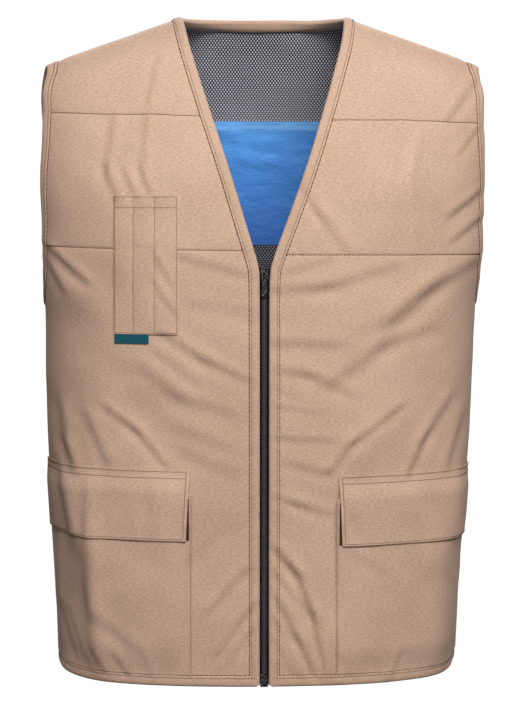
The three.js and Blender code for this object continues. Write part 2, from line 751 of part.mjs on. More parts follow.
// A block of the cells of a front between two lines, from one column to another
function blockOf(rows, from, to, firstColumn, lastColumn) {
  const start = rows.findIndex((row) => row.line === from);
  const stop = rows.findIndex((row) => row.line === to);
  return rows.slice(start, stop + 1).map((row) => row.cells.slice(firstColumn, lastColumn));
}

// Lower pockets: a bag of cloth that stands a little off the front, and a flap over its mouth
for (const side of [-1, 1]) {
  const rows = fronts[side];
  const bag = blockOf(rows, 'pocketMouth', 'hemInset', 2, undefined);
  const foot = bag.length - 1;
  bag[foot] = bag[foot].map((v, k) => stepIn(v, bag[foot - 1][k], 2 * clothGap));
  const bulge = new Map();
  bag.forEach((cells, i) => cells.forEach((v, k) => {
    const inside = k > 0 && k < cells.length - 1 && i < foot;
    bulge.set(v, clothGap + (inside ? pocketBulge : 0));
  }));
  const bagSurface = addGrid(newSurface(), bag);
  const inner = (v) => bulge.get(v) ?? clothGap;
  const outer = (v) => inner(v) + pocketThickness;
  addNode(`pocket_${sideName[side]}`, thicken(bagSurface, outer, inner), canvas);

  const flap = blockOf(rows, 'flapTop', 'flapBottom', 2, undefined);
  const lift = new Map();
  flap.forEach((cells, i) => cells.forEach((v) => {
    const over = i === 0 ? clothGap : outer(v) + clothGap;
    lift.set(v, i === flap.length - 1 ? over + flapLift : over);
  }));
  const flapSurface = addGrid(newSurface(), flap);
  const under = (v) => lift.get(v);
  const over = (v) => lift.get(v) + canvasThickness;
  addNode(`pocket_flap_${sideName[side]}`, thicken(flapSurface, over, under), canvas);
}

// Pen pocket on the viewer's left, with a small plain tab below it
const penCells = blockOf(fronts[-1], 'penTop', 'penBottom', 3, 6);
addNode('pen_pocket', thicken(addGrid(newSurface(), penCells), clothGap + penPocketThickness, clothGap), canvas);
const penFoot = fronts[-1].findIndex((row) => row.line === 'penBottom');
const [footRow, nextRow] = [penFoot, penFoot + 1].map((i) => fronts[-1][i].cells.slice(4, 6));
const labelCells = [clothGap, clothGap + labelHeight].map((drop) => footRow.map((v, k) => stepIn(v, nextRow[k], drop)));
addNode('label_tab', thicken(addGrid(newSurface(), labelCells), clothGap + labelThickness, clothGap), teal);

// Boolean joins of closed meshes
const wasm = await Module();
wasm.setup();
function solidOf(geometry) {
  const bare = geometry.clone();
  for (const name of ['normal', 'uv']) bare.deleteAttribute(name);
  const merged = mergeVertices(bare, 0.0001);
  return new wasm.Manifold(new wasm.Mesh({
    numProp: 3,
    vertProperties: new Float32Array(merged.getAttribute('position').array),
    triVerts: new Uint32Array(merged.getIndex().array),
  }));
}
function geometryFrom(solid) {
  const mesh = solid.getMesh();
  const geometry = new THREE.BufferGeometry();
  geometry.setAttribute('position', new THREE.BufferAttribute(Float32Array.from(mesh.vertProperties), 3));
  geometry.setIndex(new THREE.BufferAttribute(Uint32Array.from(mesh.triVerts), 1));
  return geometry;
}
function boxBetween(x1, x2, y1, y2, z1, z2) {
  const box = new THREE.BoxGeometry(Math.abs(x2 - x1), Math.abs(y2 - y1), Math.abs(z2 - z1));
  return box.translate((x1 + x2) / 2, (y1 + y2) / 2, (z1 + z2) / 2);
}

// The zip lies in the slot between the two front edges, behind the bindings' inner folds. Depths are
// measured inwards from the canvas.
const tapeFront = bindingInside + bindingThickness + clothGap;
const tapeBack = tapeFront + tapeThickness;
const chainBack = tapeFront - clothGap;
const chainFront = chainBack - chainThickness;
const plateBack = chainFront - clothGap;
const plateFront = plateBack - plateThickness;
const zipTop = -neckDepth;
const frontAt = (z) => -depthAt(front, z);

// A bar that follows the front down the zip, between two places across and two depths
function zipBar(x1, x2, outer, inner, top, bottom, steps) {
  const points = [];
  for (let i = 0; i <= steps; i += 1) {
    const z = mix(top, bottom, i / steps);
    const y = frontAt(z);
    for (const [x, off] of [[x1, outer], [x2, outer], [x2, inner], [x1, inner]]) {
      points.push(new THREE.Vector3(x, y + off, z));
    }
  }
  const triangles = [[0, 1, 2], [0, 2, 3]];
  for (let i = 0; i < steps; i += 1) {
    for (let k = 0; k < 4; k += 1) {
      const [a, b] = [i * 4 + k, i * 4 + (k + 1) % 4];
      triangles.push([a, a + 4, b + 4], [a, b + 4, b]);
    }
  }
  const end = steps * 4;
  triangles.push([end, end + 2, end + 1], [end, end + 3, end + 2]);
  const geometry = geometryOf(points, triangles);
  return volumeOf(geometry) > 0 ? geometry : geometryOf(points, triangles.map(([a, b, c]) => [a, c, b]));
}

const zipSteps = 14;
const zipFoot = -bodyLength;
const endBoxTop = zipFoot + endBoxHeight - clothGap;
const postTop = zipTop - 1;
const postBottom = zipTop - sliderLength / 2;
const tapeSplit = postWidth / 2 + clothGap;
for (const side of [-1, 1]) {
  const tape = zipBar(side * tapeSplit, side * (tapeSplit + tapeWidth), tapeFront, tapeBack, zipTop, zipFoot, zipSteps);
  addNode(`zip_tape_${sideName[side]}`, tape, zipBlack);
}
const chainHalf = chainWidth / 2;
const chain = zipBar(-chainHalf, chainHalf, chainFront, chainBack, postBottom - clothGap, endBoxTop + clothGap, zipSteps);
addNode('zip_chain', chain, zipBlack);

// The end box closes the foot of the chain
const footY = frontAt(zipFoot);
const endBox = boxBetween(-endBoxWidth / 2, endBoxWidth / 2, footY + plateFront, footY + chainBack, endBoxTop, zipFoot - 2);
addNode('zip_end_box', endBox, zipBlack);

// The slider: two plates joined by a post where the halves of the chain part, and a crown in front
// that holds the pull's cross bar
const sliderTop = zipTop;
const sliderY = frontAt(sliderTop - sliderLength / 2);
function plateAt(y) {
  const half = sliderWidth / 2;
  const outline = [[0.72, 0], [1, -0.2], [0.84, -0.9], [0.5, -1]];
  const corners = [...outline, ...outline.map(([x, z]) => [-x, z]).reverse()];
  const shape = new THREE.Shape(corners.map(([x, z]) => new THREE.Vector2(x * half, z * sliderLength)));
  const plate = new THREE.ExtrudeGeometry(shape, { depth: plateThickness, bevelEnabled: false });
  return plate.rotateX(Math.PI / 2).translate(0, y + plateThickness, sliderTop);
}

// A closed outline, as places along and away from the slider's face, extruded across it
function acrossSlider(outline, width, y, z) {
  const shape = new THREE.Shape(outline.map(([a, b]) => new THREE.Vector2(a, b)));
  const solid = new THREE.ExtrudeGeometry(shape, { depth: width, bevelEnabled: false });
  const down = new THREE.Vector3(0, 0, -1);
  const out = new THREE.Vector3(0, -1, 0);
  const basis = new THREE.Matrix4().makeBasis(down, out, down.clone().cross(out));
  return solid.applyMatrix4(basis).translate(width / 2, y, z);
}
const crownTop = sliderTop - (sliderLength - crownLength) * 0.4;
const cut = crownHeight * 0.3;
const crownOutline = [
  [0, -plateThickness / 2], [0, crownHeight - cut], [cut, crownHeight],
  [crownLength - cut, crownHeight], [crownLength, crownHeight - cut], [crownLength, -plateThickness / 2],
];
const eyeTop = crownHeight - crownWall;
const eyeWindow = [
  [crownWall, 0], [crownWall, eyeTop - cut / 2], [crownWall + cut / 2, eyeTop],
  [crownLength - crownWall - cut / 2, eyeTop], [crownLength - crownWall, eyeTop - cut / 2],
  [crownLength - crownWall, 0],
];
const faceY = sliderY + plateFront;
const crown = solidOf(acrossSlider(crownOutline, crownWidth, faceY, crownTop))
  .subtract(solidOf(acrossSlider(eyeWindow, 2 * crownWidth, faceY, crownTop)));
const backPlateFront = sliderY + tapeBack + clothGap;
const post = boxBetween(-postWidth / 2, postWidth / 2, faceY + plateThickness / 2,
  backPlateFront + plateThickness / 2, postTop, postBottom);
const slider = [plateAt(faceY), plateAt(backPlateFront), post].reduce((all, piece) => all.add(solidOf(piece)), crown);
addNode('zip_slider', geometryFrom(slider), zipMetal);

// The pull hangs from a cross bar that runs through the crown, and swings up about it
const pivotY = faceY - eyeTop / 2;
const pivotZ = crownTop - crownLength / 2;
const windowHalf = crownWidth / 2 + clothGap;
const ringHalf = windowHalf + pullArm;
const windowEnd = Math.hypot(crownLength / 2, crownHeight - eyeTop / 2) + clothGap;
const pullOutline = [
  [0, ringHalf], [windowEnd, ringHalf], [windowEnd + pullArm, ringHalf * 0.75],
  [pullLength * 0.88, pullWidth / 2], [pullLength, pullWidth / 3],
];
const pullShape = new THREE.Shape([
  ...pullOutline.map(([a, b]) => new THREE.Vector2(b, -a)),
  ...pullOutline.map(([a, b]) => new THREE.Vector2(-b, -a)).reverse(),
]);
const pullPlate = new THREE.ExtrudeGeometry(pullShape, { depth: pullThickness, bevelEnabled: false });
pullPlate.rotateX(Math.PI / 2).translate(0, pullThickness / 2, 0);
const windowStart = -pullThickness / 4;
const pullWindow = boxBetween(-windowHalf, windowHalf, -pullThickness, pullThickness, windowStart, -windowEnd);
const bar = new THREE.CylinderGeometry(pullThickness / 2, pullThickness / 2, 2 * ringHalf, 10).rotateZ(Math.PI / 2);
const pull = geometryFrom(solidOf(pullPlate).subtract(solidOf(pullWindow)).add(solidOf(bar)));
const pullMount = new THREE.Group();
pullMount.position.set(0, pivotY, pivotZ);
const pullMesh = new THREE.Mesh(pull, new THREE.MeshStandardMaterial(zipMetal));
pullMesh.name = 'zip_pull';
pullMount.add(pullMesh);
group.add(pullMount);

export default group;
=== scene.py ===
"""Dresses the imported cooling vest: cloth, bindings, stitches, pockets, zip, light and camera."""

import math

import bmesh
import bpy
import numpy as np
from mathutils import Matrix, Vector


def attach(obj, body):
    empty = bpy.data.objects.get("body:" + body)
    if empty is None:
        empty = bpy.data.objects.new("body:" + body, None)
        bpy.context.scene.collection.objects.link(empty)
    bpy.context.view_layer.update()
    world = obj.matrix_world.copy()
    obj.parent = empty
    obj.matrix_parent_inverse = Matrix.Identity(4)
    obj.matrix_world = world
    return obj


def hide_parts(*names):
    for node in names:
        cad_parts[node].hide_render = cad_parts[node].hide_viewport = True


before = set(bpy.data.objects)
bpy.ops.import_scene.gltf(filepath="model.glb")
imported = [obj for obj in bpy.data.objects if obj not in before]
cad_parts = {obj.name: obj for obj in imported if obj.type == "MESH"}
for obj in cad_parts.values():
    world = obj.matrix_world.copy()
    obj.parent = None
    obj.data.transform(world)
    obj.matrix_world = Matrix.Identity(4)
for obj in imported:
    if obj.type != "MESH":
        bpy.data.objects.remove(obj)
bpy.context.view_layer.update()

# Camera at the photograph's angle, in millimetres, with the photograph's frame and focal length in pixels
TURN = math.radians(2.5)
CAMERA_AWAY = 2760
CAMERA_PLACE = np.array([2.5 - CAMERA_AWAY * math.sin(TURN), -CAMERA_AWAY * math.cos(TURN), -178])
CAMERA_TARGET = np.array([2.5, 0, -361])
PHOTO_WIDTH = 523
PHOTO_HEIGHT = 709
FOCAL = 2561
camera_data = bpy.data.cameras.new("camera")
camera_data.sensor_fit = "VERTICAL"
camera_data.sensor_height = 36
camera_data.lens = FOCAL / PHOTO_HEIGHT * 36
camera_data.clip_start = 0.05
camera_data.clip_end = 50
camera = bpy.data.objects.new("camera", camera_data)
camera.location = Vector(CAMERA_PLACE) / 1000
camera.rotation_euler = Vector(CAMERA_TARGET - CAMERA_PLACE).to_track_quat("-Z", "Y").to_euler()
bpy.context.scene.collection.objects.link(camera)
bpy.context.scene.camera = camera

# Sizes of the vest in millimetres, as in the part's source
BODY_LENGTH = 698
HALF_WIDTH = 236
FRONT_DEPTH = 128
BACK_DEPTH = 118
PLAN_SQUARENESS = 2.4
SHOULDER_ROUND = 40
SHOULDER_SLOPE = 0.355
HEM_RISE = 8
NECK_HALF_WIDTH = 89
BACK_NECK_REACH = 40
NECK_DEPTH = 264
NECK_CURVE = 1.1
SLOT_HALF = 6.3
ARMHOLE_DEPTH = 244
ARMHOLE_REACH = {-1: 48, 1: 46}
YOKE_SEAM = 109
CHEST_SEAM = 249
BACK_YOKE_SEAM = 107
BACK_CHEST_SEAM = 245
CANVAS = 1.6
LINING_TOP = 1.9
BINDING_WIDTH = 10
FOLD_HEIGHT = 6
POCKET_EDGE = 77
FLAP_TOP = 224
FLAP_HEIGHT = 73
POCKET_MOUTH = 24
PEN_LEFT = 154
PEN_RIGHT = 89
PEN_TOP = 190
PEN_HEIGHT = 142
TAPE_FRONT = 5.3
CHAIN_BACK = 5.0
FRONT = -1
BACK = 1

# Sections of the body: level, width, front depth, back depth, sway
SECTIONS = np.array([
    (0.00, 1.015, 0.30, 0.50, 0.018),
    (0.07, 1.030, 0.50, 0.70, 0.018),
    (0.14, 1.050, 0.70, 0.85, 0.018),
    (0.24, 1.055, 0.90, 0.97, 0.020),
    (0.33, 1.025, 0.98, 1.00, 0.016),
    (0.42, 0.985, 1.00, 1.00, 0.008),
    (0.55, 0.972, 1.00, 0.95, 0.000),
    (0.70, 0.955, 0.98, 0.92, -0.004),
    (0.85, 0.925, 0.97, 0.93, -0.006),
    (1.00, 0.905, 0.96, 0.95, -0.010),
])
WIDTH_COLUMN, FRONT_COLUMN, BACK_COLUMN, SWAY_COLUMN = 1, 2, 3, 4

# Broad folds of the part: face, ends as shares of half width and length, spread and height as shares
BROAD_FOLDS = [
    (FRONT, -0.95, 0.37, -0.72, 0.44, 0.10, 0.55),
    (FRONT, 0.92, 0.38, 0.35, 0.47, 0.11, 0.60),
    (FRONT, 0.55, 0.60, 0.27, 0.68, 0.12, 0.65),
    (FRONT, -0.60, 0.56, -0.38, 0.66, 0.12, -0.60),
    (FRONT, -0.45, 0.08, -0.52, 0.24, 0.10, 0.45),
    (FRONT, 0.62, 0.17, 0.62, 0.30, 0.11, 0.50),
    (FRONT, -0.72, 0.78, -0.52, 0.93, 0.12, 0.50),
    (FRONT, 0.16, 0.80, 0.26, 0.95, 0.10, 0.45),
    (BACK, -0.80, 0.38, -0.30, 0.47, 0.12, 0.60),
    (BACK, 0.80, 0.38, 0.28, 0.50, 0.12, 0.60),
    (BACK, -0.30, 0.60, -0.42, 0.95, 0.13, 0.50),
    (BACK, 0.34, 0.62, 0.30, 0.96, 0.13, -0.50),
]

# Fine folds of the fronts, read from the photograph: ends in its pixels, spread in pixels, and the
# slope of the shaded side, which lies to the right of the way from the first end to the second
CHEST_FOLDS = [
    (158, 62, 149, 98, 5, 0.25), (178, 105, 195, 95, 4, 0.2), (112, 122, 106, 170, 6, 0.2),
    (106, 170, 115, 195, 5, 0.18), (146, 125, 142, 172, 5, 0.2), (125, 172, 133, 192, 4, 0.2),
    (142, 172, 150, 192, 4, 0.2), (178, 190, 186, 168, 4, 0.15), (306, 192, 320, 215, 5, 0.25),
    (320, 215, 342, 245, 6, 0.2), (412, 140, 405, 175, 6, 0.15), (405, 175, 410, 245, 6, 0.16),
    (452, 114, 476, 80, 6, 0.2), (455, 212, 478, 195, 5, 0.35), (458, 237, 480, 220, 5, 0.3),
    (462, 150, 479, 128, 4, 0.2),
]
BODY_FOLDS = [
    (52, 250, 83, 278, 5, 0.4), (50, 262, 62, 285, 5, 0.3), (182, 257, 243, 275, 6, 0.2),
    (200, 305, 240, 312, 8, 0.12), (165, 335, 205, 360, 6, 0.22), (205, 360, 243, 378, 6, 0.25),
    (160, 355, 190, 378, 6, 0.15), (150, 375, 178, 397, 9, 0.15), (178, 397, 225, 412, 8, 0.14),
    (108, 410, 135, 430, 5, 0.25), (135, 430, 162, 462, 5, 0.28), (88, 420, 105, 458, 6, 0.18),
    (60, 410, 66, 445, 7, 0.3), (66, 445, 74, 466, 6, 0.3), (180, 430, 220, 445, 8, 0.12),
    (190, 455, 225, 470, 8, 0.1), (155, 255, 170, 283, 4, 0.18), (155, 285, 174, 312, 4, 0.22),
    (283, 290, 325, 287, 7, 0.22), (325, 287, 390, 268, 7, 0.2), (290, 272, 332, 258, 5, 0.15),
    (395, 318, 430, 288, 10, 0.3), (430, 288, 474, 262, 8, 0.2), (340, 378, 385, 345, 9, 0.2),
    (385, 345, 425, 330, 8, 0.18), (283, 343, 330, 345, 7, 0.2), (283, 371, 308, 375, 6, 0.2),
    (308, 375, 345, 392, 7, 0.18), (283, 407, 310, 412, 4, 0.15), (280, 428, 300, 430, 3, 0.12),
    (280, 438, 325, 440, 5, 0.2), (332, 468, 352, 443, 5, 0.3), (352, 443, 397, 409, 5, 0.28),
    (409, 472, 425, 437, 5, 0.3), (425, 437, 448, 400, 6, 0.22), (448, 465, 461, 420, 6, 0.25),
    (295, 465, 325, 472, 6, 0.2), (278, 498, 300, 505, 5, 0.22), (300, 505, 325, 513, 6, 0.18),
    (90, 532, 92, 600, 9, 0.3), (60, 470, 72, 525, 7, 0.3), (88, 480, 90, 520, 6, 0.2),
    (152, 490, 155, 530, 8, 0.08), (345, 500, 360, 530, 5, 0.15), (67, 488, 69, 526, 13, 0.28),
    (459, 524, 460, 490, 12, 0.26),
]
FOOT_FOLDS = [
    (278, 552, 296, 572, 5, 0.35), (296, 572, 312, 615, 5, 0.4), (312, 615, 324, 668, 5, 0.4),
    (278, 600, 298, 640, 5, 0.3), (298, 640, 316, 672, 5, 0.3), (278, 625, 300, 672, 4, 0.25),
    (278, 645, 292, 672, 4, 0.25), (280, 578, 296, 600, 4, 0.2), (213, 607, 243, 572, 5, 0.22),
    (220, 652, 248, 610, 5, 0.25), (222, 668, 249, 632, 4, 0.22), (225, 676, 238, 650, 4, 0.2),
    (304, 658, 310, 672, 3.5, 0.2),
]
POCKET_FOLDS = [
    (190, 560, 215, 535, 6, 0.12), (92, 600, 98, 660, 8, 0.2), (60, 600, 75, 650, 5, 0.25),
    (70, 610, 90, 665, 4, 0.2), (105, 620, 128, 640, 7, 0.15), (118, 658, 128, 673, 3.5, 0.3),
    (143, 653, 150, 674, 3.5, 0.22), (98, 653, 105, 667, 3.5, 0.2), (374, 658, 380, 673, 3.5, 0.25),
    (391, 674, 398, 654, 3.5, 0.28), (342, 658, 350, 672, 4, 0.2), (350, 552, 380, 570, 6, 0.12),
    (392, 590, 396, 640, 10, 0.1), (78, 552, 83, 632, 19, 0.36), (446, 640, 447, 562, 18, 0.32),
]
# Each group's rows, its strength, and how much steeper its upright folds are
FRONT_FOLD_GROUPS = [
    (CHEST_FOLDS, 1.0, 0.9),
    (BODY_FOLDS, 1.12, 0.35),
    (FOOT_FOLDS, 1.5, 0.35),
    (POCKET_FOLDS, 1.0, 0.35),
]
SPREAD_OF_PIXEL = 1.3

# Fine folds of the back, which the photograph doesn't show: ends and spread in millimetres, and slope
BACK_FOLDS = [
    (-150, -275, -40, -290, 9, 0.2), (-20, -300, 90, -286, 9, 0.18), (60, -330, 170, -310, 8, 0.2),
    (-195, -258, -140, -305, 8, 0.32), (140, -305, 195, -258, 8, 0.32), (-120, -380, 20, -395, 11, 0.18),
    (30, -430, 150, -405, 10, 0.2), (-170, -440, -60, -420, 9, 0.22), (-205, -520, -150, -470, 9, 0.3),
    (150, -470, 205, -520, 9, 0.3), (-80, -560, -60, -660, 9, 0.35), (70, -600, 60, -670, 8, 0.3),
    (-30, -140, 40, -150, 9, 0.18), (120, -130, 112, -220, 9, 0.3), (-118, -220, -126, -135, 9, 0.3),
]


def section_at(z, column):
    level = np.clip(-z / BODY_LENGTH, 0, 1)
    levels, values = SECTIONS[:, 0], SECTIONS[:, column]
    last = len(levels) - 1
    above = np.maximum(np.arange(last + 1) - 1, 0)
    below = np.minimum(np.arange(last + 1) + 1, last)
    slopes = (values[below] - values[above]) / (levels[below] - levels[above])
    i = np.searchsorted(levels[1:-1], level, side="left")
    step = levels[i + 1] - levels[i]
    s = (level - levels[i]) / step
    r = 1 - s
    upper = values[i] * (1 + 2 * s) * r * r + slopes[i] * step * s * r * r
    return upper + values[i + 1] * s * s * (3 - 2 * s) - slopes[i + 1] * step * s * s * r


def ridge(share):
    """Height of the line over the shoulder at a share of the width there."""
    reach = HALF_WIDTH * SECTIONS[0, WIDTH_COLUMN] * np.abs(share)
    inside = BACK_NECK_REACH * (1 - (reach / NECK_HALF_WIDTH) ** 2)
    return np.where(reach < NECK_HALF_WIDTH, inside, -SHOULDER_SLOPE * (reach - NECK_HALF_WIDTH))


def signed_power(value):
    return np.sign(value) * np.abs(value) ** (2 / PLAN_SQUARENESS)


def across(s):
    return signed_power(np.sin(np.pi / 2 * s))


def drop_at(q):
    """Drop below the shoulder line at a way q round the shoulder's curve and on down."""
    return np.where(q < np.pi / 2, SHOULDER_ROUND * (1 - np.cos(q)), SHOULDER_ROUND * (1 + q - np.pi / 2))


def way_at(drop):
    share = np.maximum(drop, 0) / SHOULDER_ROUND
    return np.where(share < 1, np.arccos(np.clip(1 - share, -1, 1)), np.pi / 2 + share - 1)


def way_down(s, z):
    return way_at(ridge(across(s)) - z)


def skin(face, s, q):
    """The plain surface: s runs from the middle to 1 or -1 at a side, q down from the shoulder line."""
    s, q = np.broadcast_arrays(np.asarray(s, float), np.asarray(q, float))
    share = across(s)
    deep = signed_power(np.cos(np.pi / 2 * s))
    z = ridge(share) - drop_at(np.abs(q))
    turn = np.sign(q) * np.where(np.abs(q) < np.pi / 2, np.sin(np.abs(q)), 1.0)
    reach = face * deep * turn
    front = FRONT_DEPTH * section_at(z, FRONT_COLUMN)
    back = BACK_DEPTH * section_at(z, BACK_COLUMN)
    y = reach * np.where(reach < 0, front, back)
    x = HALF_WIDTH * (section_at(z, SWAY_COLUMN) + section_at(z, WIDTH_COLUMN) * share)
    return np.stack([x, y, z], -1)


def unit(v):
    return v / np.maximum(np.linalg.norm(v, axis=-1, keepdims=True), 1e-12)


def slopes_at(face, s, q):
    along_s = (skin(face, s + 0.002, q) - skin(face, s - 0.002, q)) / 0.004
    along_q = (skin(face, s, q + 0.01) - skin(face, s, q - 0.01)) / 0.02
    return along_s, along_q


def outward(face, s, q):
    along_s, along_q = slopes_at(face, s, q)
    return unit(np.cross(along_s, along_q)) * face


def noise(x, z, size, seed):
    """Smooth seeded noise from -1 to 1 with bumps of about that size."""
    grid = np.random.default_rng(seed).uniform(-1, 1, (64, 64))
    u, v = x / size + 640, z / size + 640
    i, k = np.floor(u).astype(int), np.floor(v).astype(int)
    a, b = u - i, v - k
    a, b = a * a * (3 - 2 * a), b * b * (3 - 2 * b)
    i0, i1, k0, k1 = i % 64, (i + 1) % 64, k % 64, (k + 1) % 64
    low = grid[i0, k0] * (1 - a) + grid[i1, k0] * a
    high = grid[i0, k1] * (1 - a) + grid[i1, k1] * a
    return low * (1 - b) + high * b


def fold_height(x, z, x1, z1, x2, z2, spread, height):
    run_x, run_z = x2 - x1, z2 - z1
    along = np.clip(((x - x1) * run_x + (z - z1) * run_z) / (run_x ** 2 + run_z ** 2), 0, 1)
    away = np.hypot(x - x1 - along * run_x, z - z1 - along * run_z) / spread
    return height * np.exp(-away * away) * (0.55 + 0.45 * np.sin(np.pi * along))


def fold_step(x, z, x1, z1, x2, z2, spread, slope):
    run_x, run_z = x2 - x1, z2 - z1
    length = math.hypot(run_x, run_z)
    along = ((x - x1) * run_x + (z - z1) * run_z) / length
    away = ((z - z1) * run_x - (x - x1) * run_z) / length / spread
    past = np.maximum(np.maximum(-along, along - length), 0) / (1.6 * spread)
    return slope * spread * away * np.exp(-away * away - past * past)


def seen_at(points):
    """Where points show in the photograph, in its pixels."""
    ahead = unit(CAMERA_TARGET - CAMERA_PLACE)
    right = unit(np.cross(ahead, (0, 0, 1)))
    up = np.cross(right, ahead)
    away = points - CAMERA_PLACE
    scale = FOCAL / (away @ ahead)
    return PHOTO_WIDTH / 2 + scale * (away @ right), PHOTO_HEIGHT / 2 - scale * (away @ up)


def front_folds():
    """The fine folds of the fronts, in millimetres, on the cloth that shows at their pixels."""
    s, z = np.meshgrid(np.linspace(-1, 1, 900), np.linspace(-2, 1 - BODY_LENGTH, 900))
    points = skin(FRONT, s, way_down(s, z)).reshape(-1, 3)
    seen_x, seen_y = seen_at(points)
    found = []
    for rows, strength, upright in FRONT_FOLD_GROUPS:
        for x1, y1, x2, y2, spread, slope in rows:
            one = points[np.argmin((seen_x - x1) ** 2 + (seen_y - y1) ** 2)]
            two = points[np.argmin((seen_x - x2) ** 2 + (seen_y - y2) ** 2)]
            rise = (y2 - y1) / math.hypot(x2 - x1, y2 - y1)
            steep = slope * strength * (1 + upright * rise ** 2)
            found.append((one[0], one[2], two[0], two[2], spread * SPREAD_OF_PIXEL, steep))
    return found


FINE_FOLDS = front_folds()

# Heights of the seams at a place round the body, for each front and for the back
HANG = {
    -1: {"yoke": (-1, -9), "chest": (-3, -8), "flap": (0, -4)},
    1: {"yoke": (1, 5), "chest": (1, 3), "flap": (6, 3)},
}


def hung(base, side, name):
    near, far = HANG[side][name]
    return lambda u: -base - (near + (far - near) * u)


def yoke_seam(face, side):
    return hung(YOKE_SEAM, side, "yoke") if face == FRONT else lambda u: -BACK_YOKE_SEAM + 0 * u


def chest_seam(face, side):
    return hung(CHEST_SEAM, side, "chest") if face == FRONT else lambda u: -BACK_CHEST_SEAM + 0 * u


def hem_line(u):
    return -BODY_LENGTH + HEM_RISE * u ** 4


def relief(face, s, q, p):
    """Height of the folds, puckers and small unevenness above the plain surface."""
    x, z = p[..., 0], p[..., 2]
    u = np.abs(s)
    side = np.where(s < 0, -1, 1)
    broad = 0 * x
    for kind, x1, z1, x2, z2, spread, height in BROAD_FOLDS:
        if kind == face:
            ends = (x1 * HALF_WIDTH, -z1 * BODY_LENGTH, x2 * HALF_WIDTH, -z2 * BODY_LENGTH)
            broad = broad + fold_height(x, z, *ends, spread * HALF_WIDTH, height * FOLD_HEIGHT)
    fine = 0 * x
    for fold in FINE_FOLDS if face == FRONT else BACK_FOLDS:
        fine = fine + fold_step(x, z, *fold)
    seed = 7 if face == FRONT else 29
    fine = fine + 0.9 * noise(x + 0.35 * z, z * 0.6, 58, seed) + 0.55 * noise(x + 0.4 * z, z, 27, seed + 1)
    # Seams draw the cloth into small puckers
    for line in (yoke_seam, chest_seam):
        seam = np.where(side < 0, line(face, -1)(u), line(face, 1)(u))
        away = np.abs(z - seam)
        fine = fine + 0.45 * noise(x, z * 0.25, 8.5, seed + 2) * np.exp(-away / 9)
        fine = fine + 0.8 * (1 - np.exp(-away / 7)) * np.exp(-away / 30)
    hem_away = np.abs(z - hem_line(u) - BINDING_WIDTH)
    fine = fine + 0.8 * noise(x, z * 0.2, 12, seed + 3) * np.exp(-hem_away / 14)
    if face == FRONT:
        edge_away = np.abs(x) - SLOT_HALF - BINDING_WIDTH
        along = np.exp(-np.abs(edge_away) / 10) * (z < -NECK_DEPTH + 20)
        fine = fine + 0.5 * noise(x * 0.25, z + 0.5 * np.abs(x), 9, seed + 4) * along
    broad = broad * np.clip((1 - u) * 8, 0, 1)
    fade = np.clip((1 - u) * 14, 0, 1) * np.clip(np.abs(q) / 0.9, 0, 1)
    # The tips of the shoulders are rounded off, and the right armhole is drawn in a little
    tip_away = np.hypot(np.abs(x - 4) - 230, z + 50) / 17
    drawn_in = 5.0 * np.exp(-((z + 165) / 70) ** 2) * np.clip((s - 0.55) / 0.25, 0, 1)
    return broad + fine * fade - 2.5 * np.exp(-tip_away ** 2) - drawn_in


def place(face, s, q, lift):
    """Points of the cloth at a height above it, with the outward directions."""
    p = skin(face, s, q)
    normal = outward(face, s, q)
    height = relief(face, s, q, p) + lift
    return p + normal * height[..., None], normal


# Front opening. Its two sides run smoothly into the zip's slot.
FOOT_CURVE = {-1: 2.0, 1: 3.6}


def opening_round(side, z, inset=0.0):
    share = np.clip(-z / NECK_DEPTH, 0, 1)
    wide = (NECK_HALF_WIDTH - SLOT_HALF) * (1 - share ** NECK_CURVE)
    wide = np.where(z < -NECK_DEPTH, 0.345 * (NECK_DEPTH + z), wide)
    half = SLOT_HALF + (wide + np.sqrt(wide ** 2 + FOOT_CURVE[side] ** 2)) / 2
    sway = HALF_WIDTH * section_at(z, SWAY_COLUMN)
    x = side * (sway * (1 - share ** 3) - sway) + half + inset
    return round_at(x, z)


def round_at(x, z):
    share = np.clip(x / (HALF_WIDTH * section_at(z, WIDTH_COLUMN)), 0, 1)
    return 2 / np.pi * np.arcsin(share ** (PLAN_SQUARENESS / 2))


# Armholes: the oval's points at angles from the shoulder to the armpit
OVAL_TOP = float(ridge(np.array(0.985)))
ARMPIT = OVAL_TOP - ARMHOLE_DEPTH
TIP_ROUND = float(round_at(HALF_WIDTH * SECTIONS[0, WIDTH_COLUMN] * 0.952, np.array(0.0)))


def armhole_table(face):
    angle = np.linspace(0, np.pi, 4001)
    reach = ARMHOLE_REACH[face] * np.sin(angle) ** 0.8
    reach[0] = reach[-1] = 0
    z = OVAL_TOP - ARMHOLE_DEPTH / 2 * (1 - np.cos(angle))
    low, high = np.zeros_like(z), np.ones_like(z)
    for _ in range(45):
        u = (low + high) / 2
        deeper = np.abs(skin(face, u, way_down(u, z))[:, 1]) > reach
        low, high = np.where(deeper, u, low), np.where(deeper, high, u)
    u = (low + high) / 2
    u[-1] = 1
    # Over the shoulder the oval is rounded off to the tip
    q = way_down(u, z)
    last = int(np.argmax(z < OVAL_TOP - 12))
    left = np.clip(1 - q[:last] / q[last], 0, 1) ** 1.6
    left[0] = 1
    u[:last] = u[last] + (TIP_ROUND - u[last]) * left
    q[0] = 0
    z[:last] = ridge(across(u[:last])) - drop_at(q[:last])
    return u, z


ARMHOLES = {face: armhole_table(face) for face in (FRONT, BACK)}


def outer_round(face, height):
    """The place round the section where a row of cloth meets the armhole or the side seam."""
    u, z = ARMHOLES[face]
    if height(np.array(1.0)) <= ARMPIT + 0.001:
        return 1.0
    above = z - height(u)
    i = int(np.argmax(above <= 0))
    if i == 0:
        return float(u[0])
    share = above[i - 1] / (above[i - 1] - above[i])
    return float(u[i - 1] + (u[i] - u[i - 1]) * share)


